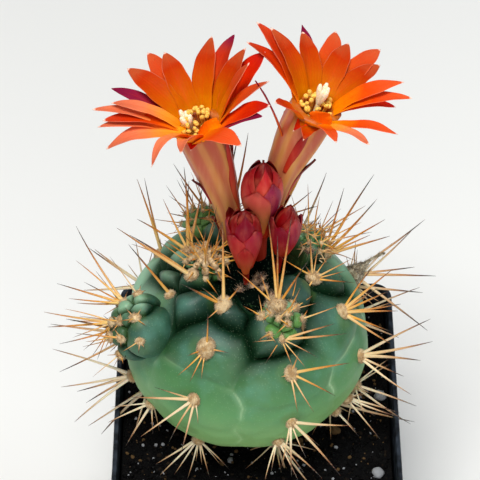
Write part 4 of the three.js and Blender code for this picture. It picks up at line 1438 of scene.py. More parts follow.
@dataclass(frozen=True)
class Tube:
    """A round body along a curve: the tube of a flower, or a bud."""

    path: Path
    axis: Array
    radii: tuple[float, ...]  # its radii at even steps from the base to the end

    def add_scale(self, pile: Pile, scale: Scale, draw: Draw) -> None:
        """Adds a pointed scale that lies along the body."""
        t, x, face = leaf(24)
        share = mix(scale.start, scale.end, t)
        form = ease(t, [0.55, 0.85, 1.0, 0.97, 0.78, 0.44, 0.03])
        around = ease(np.array(mix(scale.start, scale.end, 0.4)), self.radii)
        turn = math.radians(scale.turn) + x * form * scale.half / around
        keel = 0.22 * np.exp(-((x / 0.22) ** 2)) * (face > 0) * t
        lift = scale.shell + 0.2 * t + scale.flare * smooth(t, 0.6, 1.0) + 0.17 * face
        lift = lift - 0.3 * x**2 * form + keel
        points = self.at(share, turn, lift)
        light, plum = scale.light * (1 - 0.35 * t), scale.plum * smooth(t, 0.1, 0.6)
        dark = scale.dark * smooth(t, 0.2, 0.9)
        pile.add_loft(points, along=t, across=x, light=light, plum=plum, dark=dark)

    def at(self, share: Values, turn: Values, lift: Values = 0.0) -> Array:
        """Points at a share of its length and a turn in radians, lifted off its skin."""
        share, turn, lift = np.broadcast_arrays(np.asarray(share, float), turn, lift)
        x, y, _ = axes_about(mix(self.path.along(share), self.axis, share[..., None] ** 2))
        reach = (ease(share, self.radii) + lift)[..., None]
        return self.path.at(share) + reach * (x * np.cos(turn)[..., None] + y * np.sin(turn)[..., None])


@dataclass
class Flower:
    """An open flower: tube, scales, petals, stamens and pistil."""

    side: str  # the end of its nodes' names
    base: Point  # where its tube leaves the stem
    bend: Point  # the point that pulls its tube
    throat: Point  # the middle of the rim of its throat
    axis: Point  # the direction of the throat
    inner: tuple[Petal, ...]  # the petals that stand inside
    outer: tuple[Petal, ...]  # the petals that stand outside
    style: Point  # lean, direction and height of the head of the pistil
    scales: tuple[Scale, ...]  # the scales of its tube
    seed: int  # picks what is uneven
    radii: tuple[float, ...] = (2.7, 2.8, 2.95, 3.4, 4.4, 5.3, 5.8)  # radii of the tube
    # radius and height of the hollow in the throat
    cup: tuple[Spot, ...] = ((5.5, 0.0), (3.7, -0.2), (3.0, -3), (2.2, -6.5))
    roots: tuple[Spot, Spot] = ((3.9, 0.9), (4.7, 2.0))  # radius and depth of an inner and an outer foot
    width: Span = (5.4, 5.2)  # width of an inner and of an outer petal
    arch: float = 0.22  # how far a petal arches, over its length
    filaments: int = 32
    petals: Pile = field(default_factory=Pile)
    flesh: Pile = field(default_factory=Pile)
    coat: Pile = field(default_factory=Pile)
    threads: Pile = field(default_factory=Pile)
    heart: Pile = field(default_factory=Pile)

    def build(self) -> None:
        """Makes all of the flower."""
        draw = draws(self.seed)
        self.frame = np.array(axes_about(self.axis))
        self.middle = np.array(self.throat)
        path = Path(np.array(self.base), np.array(self.bend), self.middle)
        self.tube = Tube(path, self.frame[2], self.radii)
        self.add_tube()
        for scale in self.scales:
            self.tube.add_scale(self.coat, scale, draw)
        for form in self.outer:
            self.add_petal(form, self.width[1], self.roots[1], draw)
        for form in self.inner:
            self.add_petal(form, self.width[0], self.roots[0], draw)
        self.add_stamens(draw)
        self.add_pistil(draw)

    def spoke(self, turn: float) -> Array:
        """The direction round the throat's axis."""
        spin = math.radians(turn)
        return self.frame[0] * math.cos(spin) + self.frame[1] * math.sin(spin)

    def add_petal(self, form: Petal, width: float, root: Span, draw: Draw) -> None:
        """Adds a petal: a pointed blade with a trough, a midrib and an uneven edge.

        Args:
            form: Its form.
            width: Its width.
            root: Radius and depth below the rim of its foot.
            draw: The random numbers.
        """
        out, up = self.spoke(form.turn), self.frame[2]
        foot = self.middle + self.spoke(form.turn + form.root) * (root[0] + form.foot)
        foot = foot - up * (root[1] + form.low)
        lean = math.radians(form.open)
        tip = self.middle + (up * math.cos(lean) + out * math.sin(lean)) * form.length
        chord = tip - foot
        facing = unit(np.cross(np.cross(out, up), chord))
        facing = facing if facing @ up > 0 else -facing
        path = Path(foot, (foot + tip) / 2 + facing * self.arch * form.arch * np.linalg.norm(chord), tip)
        t, x, face = leaf(30)
        half = form.broad * width * between(draw, 0.47, 0.53)
        half = half * self.outline(t, form.point)
        along = path.along(t[:, 0])[:, None]
        side = unit(np.cross(along, facing))
        upper = np.cross(side, along)
        trough, phase, twist = between(draw, 0.25, 1.0), 6.3 * draw(), between(draw, -0.22, 0.22)
        edge = np.abs(x) ** 2.5
        wave = 0.16 * edge * np.sin(9 * t + phase + 1.2 * np.sign(x)) * smooth(t, 0.15, 0.5)
        groove = -0.16 * np.exp(-((x / 0.12) ** 2)) * (1 - t) * np.sign(face + 1e-9) * (face > 0)
        raise_by = trough * (half / width * 2) * x**2 + wave + groove + form.curl * smooth(t, 0.55, 1.0) * t
        thick = mix(0.34, 0.14, t)
        nib = 1 + 0.03 * np.sin(23 * t + phase)
        angle = twist * t
        shift = side * np.cos(angle)[..., None] + upper * np.sin(angle)[..., None]
        rise = upper * np.cos(angle)[..., None] - side * np.sin(angle)[..., None]
        points = path.at(t[:, 0])[:, None] + shift * (x * half * nib)[..., None]
        points = points + rise * (raise_by + thick * face)[..., None]
        end = points[-1].mean(axis=0) + along[-1, 0] * 0.35
        values = {"along": t * (0.35 if form.point < 0 else 1.0), "across": x, "under": (face < 0) * 1.0}
        values |= dict(zip(("bright", "pale", "red", "purple", "tip"), form.tone.value))
        self.petals.add_loft(points, end, **values)

    def outline(self, share: Array, point: float) -> Array:
        """The width of a petal at shares of its length, for its kind of point."""
        usual = ease(share, [0.8, 0.84, 0.9, 0.96, 1.0, 0.99, 0.91, 0.74, 0.45, 0.03])
        other = [1, 0.95, 0.86, 0.76, 0.65, 0.54, 0.42, 0.3, 0.16, 0.02]
        if point < 0:
            other = [0.75, 0.84, 0.93, 1, 1, 0.98, 0.95, 0.93, 0.9, 0.55]
        return mix(usual, ease(share, other), abs(point))

    def add_tube(self, rows: int = 60, columns: int = 72) -> None:
        """Adds the tube, its rim and the hollow of its throat."""
        share = np.linspace(0, 1, rows)[:, None]
        turn = turns(columns)[None]
        ridge = 0.5 + 0.5 * np.sin(9 * turn + 3.2 * share + 0.7 * np.sin(2 * turn))
        swell = 0.22 * ridge * smooth(share, 0.05, 0.3) + 0.12 * np.sin(14 * share + 5 * turn)
        skin = self.tube.at(share, turn, swell)
        dip = np.linspace(0, 1, 14)
        radius, height = (ease(dip, list(each)) for each in zip(*self.cup))
        spokes = np.cos(turn[0])[:, None] * self.frame[0] + np.sin(turn[0])[:, None] * self.frame[1]
        hollow = self.middle + spokes[None] * radius[:, None, None] + self.frame[2] * height[:, None, None]
        rings = np.concatenate([skin, hollow[1:]])
        below = len(hollow) - 1
        stripe = np.concatenate([np.broadcast_to(ridge, skin.shape[:2]), np.full((below, columns), 0.5)])
        inside = np.concatenate([np.zeros(rows), np.ones(below)])
        along = np.concatenate([share[:, 0], np.ones(below)])
        self.flesh.add_loft(rings, along=along, stripe=stripe, dark=inside)

    def add_stamens(self, draw: Draw) -> None:
        """Adds the filaments as polylines, which get their anthers later."""
        for k in range(self.filaments):
            turn = GOLDEN_ANGLE * k + 20 * draw()
            share = math.sqrt((k + 0.5) / self.filaments)
            out, up = self.spoke(turn), self.frame[2]
            foot = self.middle + out * mix(1.2, 2.1, share) - up * 5.4
            head = self.middle + out * mix(0.9, 3.9, share) * between(draw, 0.85, 1.08)
            rise = mix(2.3, 0.1, share) + between(draw, -0.9, 0.9)
            head = head + up * (rise + 1.2 * (out @ [0, 1, 0]) * share)
            path = Path(foot, (foot + head) / 2 + up * 1.2 - out * 0.3, head)
            self.threads.add_line(path, np.linspace(0, 1, 6), 0.085, shade=draw(), head=0.0)

    def add_pistil(self, draw: Draw) -> None:
        """Adds the style and its lobes."""
        lean, towards, height = self.style
        up = self.frame[2]
        foot = self.middle - up * 6.2
        head = self.middle + self.spoke(towards) * lean + up * height
        style = Path(foot, self.middle - up * 1.5, head)
        self.heart.add_loft(rod(style, [0.5, 0.48, 0.5, 0.62], 16, 14), head=0.25, shade=0.0)
        for k in range(6):
            out = self.spoke(360 * k / 6 + 24 * draw())
            start = head + out * 0.3 - up * 0.4
            end = start + up * between(draw, 3.8, 5.6) + out * between(draw, 0.3, 1.1)
            middle = (start + end) / 2 + up * 0.6 + out * 0.1
            lobe = rod(Path(start, middle, end), [0.35, 0.5, 0.6, 0.66, 0.6, 0.3], 14, 10)
            self.heart.add_loft(lobe, head=1.0, shade=draw())

    def dress(self, kit: "Kit") -> None:
        """Finishes the pieces and ties them to the frame."""
        node = "flower_" + self.side
        hand_over(self.petals.piece(node + "_petals", kit.petals), node)
        hand_over(self.flesh.piece(node + "_tube", kit.tube), node)
        hand_over(self.coat.piece(node + "_scales", kit.scales), node)
        threads = kit.stamening.grow(self.threads.piece("stamens_" + self.side), kit.pollen, Seed=self.seed)
        hand_over(threads, "stamens_" + self.side)
        hand_over(self.heart.piece("pistil_" + self.side, kit.stigma), "pistil_" + self.side)


@dataclass
class Bud:
    """A closed bud: a stalk that swells into a bulb of overlapping scales."""

    name: str
    base: Point  # where it leaves the stem
    bend: Point  # the point that pulls it
    tip: Point
    radii: tuple[float, ...]  # its radii at even steps from the base to the tip
    scales: tuple[Scale, ...]  # its scales, the inner ones first
    seed: int  # picks what is uneven
    core: Pile = field(default_factory=Pile)

    def build(self) -> None:
        """Makes the core and the scales."""
        draw = draws(self.seed)
        base, bend, tip = (np.array(point) for point in (self.base, self.bend, self.tip))
        body = Tube(Path(base, bend, tip), unit(tip - bend), self.radii)
        turn = turns(40)[None]
        share = np.linspace(0, 0.985, 40)[:, None]
        core = body.at(share, turn, np.minimum(-0.3, 0.06 * np.sin(7 * turn) - 0.3))
        self.core.add_loft(core, tip - unit(tip - bend) * 0.3, along=share, across=0.3, dark=0.1)
        for scale in self.scales:
            body.add_scale(self.core, scale, draw)

    def dress(self, kit: "Kit") -> None:
        """Gives the bud its finish and ties it to the frame."""
        hand_over(self.core.piece(self.name + "_scales", kit.scales), self.name)


# Withered flower, wool, pot and soil


@dataclass
class WitheredFlower:
    """A crumpled dry tube in a tuft of wool."""

    base: Point = (22.5, 10.6, 92.8)  # where it leaves the stem
    bend: Point = (27.4, 14.0, 97.2)  # the point that pulls it
    tip: Point = (31.4, 16.4, 96.0)
    radii: tuple[float, ...] = (2.0, 2.3, 1.5, 0.7, 0.4, 0.3, 0.4, 0.2)  # its radii at even steps
    hair: float = 0.9
    seed: int = 41
    pile: Pile = field(default_factory=Pile)

    def build(self) -> None:
        """Makes the tube, creased along its length."""
        path = Path(*(np.array(point) for point in (self.base, self.bend, self.tip)))
        rings = rod(path, self.radii, 60, 44)
        middle = path.at(np.linspace(0, 1, 60))[:, None]
        fold = 1 + 0.3 * rough(rings, 1.3, 4.0) + 0.22 * rough(rings, 0.6, 9.0)
        self.pile.add_loft(middle + (rings - middle) * fold[..., None], fibre=0.0)

    def dress(self, kit: "Kit") -> None:
        """Grows its hairs and ties it to the frame."""
        piece = self.pile.piece("withered_flower")
        kit.felting.grow(piece, kit.dry, Density=6e6, Hair=self.hair * METRES, Lean=1.1, Seed=self.seed)
        hand_over(piece, "withered_flower")


@dataclass
class CrownWool:
    """Tufts of wool round the feet of the buds and of the flowers."""

    form: HeadForm  # the ball that they grow on
    spots: tuple[tuple[float, ...], ...]  # pixel, radius and height of each tuft
    hair: float = 1.3
    seed: int = 52
    pile: Pile = field(default_factory=Pile)

    def build(self) -> None:
        """Makes the tufts."""
        head = Head(self.form)
        for x, y, radius, rise in self.spots:
            add_pad(self.pile, head.seat(head.land((x, y))), radius, rise)

    def dress(self, kit: "Kit") -> None:
        """Grows the hairs and ties the tufts to the frame."""
        piece = self.pile.piece("crown_wool")
        kit.felting.grow(piece, kit.wool, Density=1.1e7, Hair=self.hair * METRES, Lean=1.0, Seed=self.seed)
        hand_over(piece, "stem")


def rounded_square(side: float, corner: float, height: float, sides: int = 12, arc: int = 10) -> Array:
    """A ring in the form of a square with round corners.

    Args:
        side: Its width.
        corner: The radius of its corners.
        height: Its height over the origin.
        sides: Steps of each side.
        arc: Steps of each corner.

    Returns:
        Its points, counterclockwise from above.
    """
    half = side / 2 - corner
    points = []
    signs = [(1, 1), (-1, 1), (-1, -1), (1, -1)]
    for quarter, (sx, sy) in enumerate(signs):
        nx, ny = signs[(quarter + 1) % 4]
        for k in range(arc):
            turn = math.pi / 2 * (quarter + k / arc)
            points.append((sx * half + corner * math.cos(turn), sy * half + corner * math.sin(turn), height))
        turn = math.pi / 2 * (quarter + 1)
        for k in range(sides):
            x, y = mix(sx, nx, k / sides) * half, mix(sy, ny, k / sides) * half
            points.append((x + corner * math.cos(turn), y + corner * math.sin(turn), height))
    return np.array(points)


@dataclass
class Pot:
    """The square nursery pot."""

    side: float = 70.0  # width of the rim
    height: float = 65.0
    base_side: float = 51.0  # width of the foot
    neck_side: float = 67.6  # width under the collar
    collar: float = 9.0  # height of the thicker band below the rim
    corner: float = 4.5
    wall: float = 1.1
    floor: float = 1.8
    drain: float = 2.4  # radius of a drain hole
    drain_offset: float = 14.0  # distance of a drain hole from the middle, along X and along Y

    def wall_side(self, height: float) -> float:
        """The outside width of the wall at a height, without the collar."""
        return mix(self.base_side, self.neck_side, height / (self.height - self.collar))

    def profile(self) -> list[Point]:
        """Width, corner and height of each ring, from the underside up and down again inside."""
        foot, side, high, corner, wall = self.base_side, self.side, self.height, self.corner, self.wall
        neck, tight, lip, walls = high - self.collar, corner - wall, side - 0.8, 2 * wall
        under = [(foot - 9, 2.6, 0.9), (foot - 8, 3, 0.0), (foot - 0.8, 4.2, 0.0), (foot - 0.1, 4.5, 0.35)]
        outside = [(self.wall_side(h), corner, h) for h in (1.2, 12, 24, 36, 48, neck - 0.35)]
        collar = [(self.neck_side + 0.15, corner, neck - 0.05), (lip - 0.5, corner, neck)]
        collar += [(lip, corner, neck + 0.3), (side - 0.1, corner, high - 1.3)]
        rim = [(side + 0.3, corner + 0.15, high - 0.9), (side + 0.3, corner + 0.15, high - 0.3)]
        rim += [(side, corner, high), (side - walls + 0.4, tight + 0.2, high)]
        rim += [(side - walls, tight, high - 0.3)]
        step = [
            (lip - walls, tight, neck + wall + 0.3), (lip - walls - 0.3, tight, neck + wall),
            (self.neck_side - walls, tight, neck - wall),
        ]
        inside = [(self.wall_side(h) - walls, tight, h) for h in (40, 26, 12, self.floor + 1)]
        bottom = (self.wall_side(self.floor) - walls - 0.8, tight, self.floor)
        return [*under, *outside, *collar, *rim, *step, *inside, bottom]

    def build(self) -> None:
        """Makes the shell and cuts its drain holes."""
        pile = Pile()
        profile = self.profile()
        rings = np.array([rounded_square(*row) for row in profile])
        rings += 0.05 * rough(rings, 9.0)[..., None] * smooth(rings[..., 2:], 0.5, 3.0)
        # rim: the rows where the plastic's finish paints wear and a highlight
        rim = np.array([1.0 if height > self.height - 1.2 else 0.0 for _, _, height in profile])
        pile.add_loft(rings, rim=rim)
        self.shell = pile.piece("pot_shell")
        plugs = Pile()
        for sx, sy in ((1, 1), (-1, 1), (-1, -1), (1, -1)):
            foot = np.array([sx * self.drain_offset, sy * self.drain_offset, -2.0])
            top = foot + [0, 0, self.floor + 4]
            plugs.add_loft(rod(Path(foot, (foot + top) / 2, top), [self.drain] * 2, 2, 32))
        plug = plugs.piece("drain_plugs")
        cut = self.shell.modifiers.new("drain holes", "BOOLEAN")
        cut.operation, cut.solver, cut.object = "DIFFERENCE", "EXACT", plug
        evaluated_mesh(self.shell)
        bpy.data.objects.remove(plug)

    def dress(self, kit: "Kit") -> None:
        """Gives the pot its finish and ties it to the frame."""
        self.shell.data.materials.clear()
        self.shell.data.materials.append(kit.plastic)
        self.shell.data.polygons.foreach_set("use_smooth", [True] * len(self.shell.data.polygons))
        self.shell.data.set_sharp_from_angle(angle=math.radians(38))
        hand_over(self.shell, "pot")


@dataclass
class PottingMix:
    """The fill of the pot, with crumbs and stones on it."""

    pot: Pot  # the pot that holds it
    depth: float = 5.1  # how far its surface lies below the rim
    middle: Spot = STEM_MIDDLE  # where the neck of the plant stands, from above
    # radius and height of the hole for the root
    pit: tuple[Spot, ...] = ((7.1, 59.7), (6.0, 57), (4.2, 49), (3.0, 39), (1.9, 26.8))
    # pixel, radius and kind of the stones that the picture shows
    stones: tuple[tuple[float, ...], ...] = (
        (380, 396, 1.6, 0.97), (378, 474, 1.5, 0.97), (335, 431, 1.3, 0.93), (300, 441, 0.8, 0.93),
        (294, 444, 0.6, 0.93), (307, 440, 0.6, 0.93), (163, 445, 0.5, 0.97), (298, 469, 0.5, 0.97),
        (272, 473, 0.4, 0.97), (336, 448, 0.5, 0.97),
    )
    pebbles: Pile = field(default_factory=Pile)
    fill: Pile = field(default_factory=Pile)
    bed: Pile = field(default_factory=Pile)

    def build(self) -> None:
        """Makes the fill with its uneven surface, and the bed that the crumbs lie on."""
        pot, steps = self.pot, (44, 6)
        top, tight = pot.height - self.depth, pot.corner - pot.wall
        neck, gaps = pot.height - pot.collar, 2 * pot.wall + 2 * GAP
        lip = pot.side - 0.8 - gaps
        floor = (pot.wall_side(pot.floor) - gaps - 1, pot.floor + GAP)
        ledge = (pot.neck_side - gaps - 0.1, neck - pot.wall)
        levels = (floor, ledge, (lip, neck + pot.wall + GAP), (lip, top - 0.5))
        below = [rounded_square(side, tight, height, *steps) for side, height in levels]
        edge = rounded_square(lip, tight, top, *steps)
        centre = np.array([*self.middle, top])
        spoke = unit((edge - centre) * [1, 1, 0])
        near = centre + spoke * self.pit[0][0]
        share = np.linspace(0.004, 1, 86)[:, None, None]
        surface = mix(edge, near, share)
        surface[..., 2] += self.lumps(surface)
        pit = np.array([centre + spoke * r + [0, 0, z - top] for r, z in self.pit])
        self.fill.add_loft(np.concatenate([below, surface, pit]), kind=0.3)
        inside = surface[2:70:3, ::3]
        self.bed.add(inside.reshape(-1, 3), quads(*inside.shape[:2]).tolist())
        for stone in self.stones:
            self.add_stone(top, *stone)

    def add_stone(self, level: float, x: float, y: float, radius: float, kind: float) -> None:
        """Adds the stone that the picture shows at a pixel, sunk a little into the fill."""
        sight = EYE.ray((x, y))
        place = EYE.place + sight * ((level - EYE.place[2]) / sight[2])
        place[2] += float(self.lumps(place)) + 0.25 * radius
        tilt = np.linspace(-80, 80, 9) * math.pi / 180
        turn = turns(14)
        flat, rise = np.cos(tilt)[:, None], 0.75 * np.sin(tilt)[:, None]
        ball = np.stack(np.broadcast_arrays(flat * np.cos(turn), flat * np.sin(turn), rise), axis=-1)
        uneven = 1 + 0.35 * rough(ball, 0.8, x)
        self.pebbles.add_loft(place + ball * radius * uneven[..., None], kind=kind)

    def lumps(self, points: Array) -> Array:
        """The height of the surface over its level."""
        coarse = 0.42 * rough(points, 4.2) + 0.34 * rough(points, 1.5, 3.0)
        return coarse + 0.14 * rough(points, 0.7, 8.0) - 0.1

    def dress(self, kit: "Kit") -> None:
        """Scatters the crumbs and ties it all to the frame."""
        hand_over(self.fill.piece("potting_mix", kit.soil), "soil")
        hand_over(self.pebbles.piece("soil_pebbles", kit.soil), "soil")
        grains = {"crumbs": (1.5e6, 0.00022, 0.00075, 3), "stones": (6e4, 0.0006, 0.0012, 8)}
        for name, (density, smallest, largest, seed) in grains.items():
            piece = self.bed.piece("soil_" + name)
            kit.gritting.grow(piece, kit.soil, Density=density, Smallest=smallest, Largest=largest, Seed=seed)
            hand_over(piece, "soil")


# Everything together


class Kit:
    """The finishes and the node trees that the pieces share."""

    def __init__(self) -> None:
        """Makes each of them once."""
        self.skin = SkinFinish().make()
        self.felt = FeltFinish("areole_felt", "#d8c096", "#b08c5c").make()
        # the crown wool's near-black is partly painted shade of the crown's hollow
        self.wool = FeltFinish("crown_wool", "#c9a680", "#4a2f22").make()
        self.spines = SpineFinish().make()
        self.petals = PetalFinish().make()
        self.tube = TubeFinish().make()
        self.scales = ScaleFinish().make()
        self.pollen = HeartFinish("stamens", "#f0a23c", "#fbdc70", "#e0a232").make()
        self.stigma = HeartFinish("stigma", "#f3dc9c", "#fff4dc", "#ecd8a8").make()
        self.plastic = PlasticFinish().make()
        self.soil = SoilFinish().make()
        self.dry = DryFinish().make()
        self.spining = spine_grower()
        self.felting = felt_grower()
        self.gritting = grit_grower()
        self.stamening = stamen_grower()


STEM_FORM = HeadForm(
    centre=(*STEM_MIDDLE, 84.6), axis=(0, 0, 1), across=29.3, upright=24.4, ribs=8,
    rows=(
        Bump(65, 0.0, 8.0, 3.6, 1.4), Bump(42, 3.6, 12.0, 1.0, 0.12, 1.6),
        Bump(14, 4.4, 12.0, 0.45, 0.1, 2.0),
        Bump(-12, 4.4, 12.0, 0.3, 0.1, 2.0), Bump(-36, 4.4, 12.0, 0.3, 0.1, 2.0),
    ),
    stagger=(0, -11, -6, -4, -10, -2, -12, 3), first_rib=-115.9, rib_swing=6,
    marks=(
        Bump((224, 315), 0.0, 7.0, 4.6, 1.3, 0.8), Bump((276, 330), 1.6, 7.5, 4.0, 1.3, 0.8),
        Bump((306, 294), 0.0, 6.5, 4.0, 1.3, 0.8), Bump((183, 303), 0.8, 7.0, 4.4, 1.3, 0.8),
        Bump((206, 346), 3.6, 11.0, 1.7, 0.15, 1.3), Bump((163, 272), 0.8, 6.5, 3.0, 1.2, 0.7),
        Bump((176, 254), 1.2, 6.5, 3.0, 1.2, 0.7), Bump((333, 273), 1.6, 8.0, 2.2, 1.2, 0.6),
        Bump((338, 316), 4.0, 12.0, 1.4, 0.15, 1.3), Bump((250, 302), -1.6, 3.0, -1.4, 1.4),
        Bump((233, 272), -1.0, 3.0, -1.6, 1.4), Bump((292, 264), -1.4, 3.0, -1.4, 1.4),
    ),
)

STEM_AREOLES = (
    Areole("upper front", (223, 306), (
        (222.5, 222, 1.15), (181, 284), (187, 287), (201, 287), (245, 281), (242, 284), (205, 321),
    ), 1.3),
    Areole("front middle", (206, 349), (
        (208, 314, 1.5), (229.5, 353), (177, 376), (189.5, 382.5), (201.5, 379), (187, 356),
    ), 1.6),
    Areole("front lower", (194, 400), (
        (154, 387), (130, 397), (141, 436.5), (169, 442), (181, 453), (198, 424),
    )),
    Areole("front foot", (197, 442), (
        (156, 464), (160, 475), (174, 475), (187, 480), (196, 461), (202, 465), (207, 464), (210, 479),
        (220, 464), (229, 469),
    )),
    Areole("right middle", (291, 374), (
        (349.5, 363), (335.5, 396), (314, 412.5), (297.5, 412), (281, 377), (299, 352, 1.4), (309, 370.5),
    )),
    Areole("right lower", (291.6, 423), (
        (348, 425.5), (340, 475), (320, 446), (306, 457.5), (291.6, 476.5), (281.5, 467.5),
    )),
    Areole("foot behind", (278, 441), (
        (265, 480), (271, 473), (298, 480), (304, 473), (322, 478),
    ), 0.9),
    Areole("right edge", (360, 356), (
        (430.5, 319), (432.5, 341.5), (420.5, 360.5), (404, 376.5), (411, 394.5),
    )),
    Areole("right edge low", (348, 399), (
        (364, 393), (400, 413), (400, 417), (375.5, 416), (380, 439),
    ), 0.9),
    Areole("right edge foot", (338, 413), ((356.5, 432), (359, 436.5)), 0.8),
    Areole("right upper", (343, 312), (
        (374, 265), (393, 269), (401, 304), (388, 291.5), (398, 311), (391, 331.5), (391, 344), (378, 288),
    ), 1.2),
    Areole("upper right", (309, 283), (
        (310, 236, 1.3), (318, 247), (328, 257), (351.5, 259), (346, 270.5), (353.5, 282.5), (295, 306),
        (304.5, 264), (280, 257),
    ), 1.1),
    Areole("back right", (325.5, 253.5), (
        (374, 174.5), (344, 188), (377, 199), (385, 219.5), (370, 235), (390, 236),
    )),
    Areole("back right low", (358, 269), (
        (425, 219.5), (356.5, 245), (436, 276), (427.5, 330.5), (415, 267),
    ), 0.9),
    Areole("back left", (160, 253), ((137, 179), (144.5, 178), (131, 244), (160, 238))),
    Areole("crown left", (187, 250), ((184, 167, 1.2), (163, 199), (137, 219), (202.5, 187), (189, 181))),
    Areole("left upper", (191, 275.7), ((117, 228), (129.5, 235)), 0.9),
    Areole("left high", (170, 295), ((128.5, 244.5),), 0.8),
    Areole("left edge", (129, 377), ((52.5, 349), (61, 387), (77, 391.5), (86, 403), (74.5, 422))),
    Areole("left low", (147, 407), ((111.5, 407), (108, 422.5), (125.5, 446.5), (153, 434)), 0.9),
)

PUP_SPINES = SpineRule(
    radials=(4, 3), centrals=(1, 1), radial_length=(2, 5), central_length=(8, 13), thin=0.18, thick=0.36,
    amber=(0.4, 0.9),
)

WOOLLY_SPINES = replace(PUP_SPINES, radials=(1, 1), centrals=(1, 0), central_length=(6, 12), amber=(0.8, 1.0))


def pup(name: str, centre: Point, axis: Point, radius: float, seed: int, **more: Any) -> Ball:
    """A young ball that grows from the stem.

    Args:
        name: Its node's name.
        centre: The middle of its head.
        axis: The way its crown points.
        radius: Its radius.
        seed: Picks its spines.
        **more: Other fields of the ball, and ribs and rows of its form.

    Returns:
        The ball.
    """
    ribs = more.pop("ribs", 6)
    rows = more.pop("rows", (66, 36, 6))
    bump = Bump(0, 0.0, radius * 0.7, radius * 0.2, 0.8, 0.5)
    form = HeadForm(
        centre=centre, axis=axis, across=radius, upright=radius * 0.95, ribs=ribs,
        rows=tuple(row if isinstance(row, Bump) else replace(bump, place=row) for row in rows),
        stagger=tuple(-14 if rib % 2 else 0 for rib in range(ribs)), cell_drop=3, crown_dip=0.8,
        crown_width=20, groove_width=0.45, wander=0.35, grain=0.07, marks=more.pop("marks", ()),
    )
    more.setdefault("shade", (0.5, 0.9))
    more.setdefault("rule", PUP_SPINES)
    return Ball(name, form, seed=seed, **more)


PUP_LEFT_AREOLES = (
    Areole("upper", (124, 302), (
        (76, 226), (76, 260.5), (84, 282), (57, 283.5), (69, 298.5), (76.5, 303),
    )),
    Areole("lower", (112, 322), (
        (44, 312), (65, 309), (71, 321), (80.5, 325), (47.5, 327), (73, 337.5), (83, 350.5), (91, 357.5),
        (97, 360),
    ), 1.2),
    Areole("foot", (140, 341), ((121.5, 352), (138.4, 353.5), (145.4, 349.5)), 0.9),
)

PUP_FRONT_AREOLES = (
    Areole("lower", (281, 337), (
        (335.5, 323.5), (347, 333.5), (318.5, 358), (306, 368), (292.5, 366), (265, 364), (252.5, 342),
    ), 1.7),
    Areole("right", (294, 309), ((304, 291), (313, 295.5), (318.5, 302.5)), 1.5),
    Areole("left", (261, 316), ((258.4, 294.4), (252.5, 312), (243, 306)), 1.6),
    Areole("top", (277, 304), ((236.7, 270), (268.5, 221), (291.6, 216.6), (308, 261), (277.6, 236)), 3.0),
)


def pups() -> list[Ball]:
    """The five pups."""
    return [
        pup("pup_left", (-27.4, -10.2, 98.6), (-0.95, -0.14, 0.3), 7.0, 21, seen=PUP_LEFT_AREOLES,
            grid=(110, 200), pad=(1.2, 0.9), rows=(66, 30), shade=(0.86, 0.93), hair=0.5, density=24, marks=(
                Bump((142, 310), 0.6, 4.5, 1.2, 0.75, 0.6), Bump((127, 289), 0.0, 3.6, 1.1, 0.9, 0.5),
                Bump((148, 334), 3.6, 6.0, 1.1, 0.75, 0.7), Bump((124, 321), 0.0, 3.0, 0.8, 1.0, 0.5),
                Bump((119, 334), 0.0, 3.0, 0.8, 1.0, 0.5),
            )),
        pup("pup_front", (5.0, -15.4, 106.0), (0.12, -0.28, 0.95), 4.7, 22, seen=PUP_FRONT_AREOLES,
            rule=WOOLLY_SPINES, shade=(0.25, 0.7), grid=(80, 150), pad=(0.75, 0.7), rows=(74, 26, -16),
            young=0.8, hair=0.8, density=24),
        pup("pup_crown", (-12.2, 0.6, 108.7), (0.0, -0.2, 0.97), 4.3, 23, young=0.35, pad=(0.85, 0.9), ribs=8,
            rows=(80, 60, 38, 14), rule=WOOLLY_SPINES, hair=0.35, density=24, grid=(80, 150)),
        pup("pup_back_left", (-13.2, 17.4, 105.4), (-0.35, 0.45, 0.82), 4.4, 24, pad=(0.6, 0.5),
            rule=replace(WOOLLY_SPINES, central_length=(5, 9)), shade=(0.1, 0.35), young=0.4),
        pup("pup_back_right", (12.6, 10.4, 105.6), (0.5, 0.1, 0.86), 3.8, 25,
            pad=(0.6, 0.5), shade=(0.3, 0.6)),
    ]


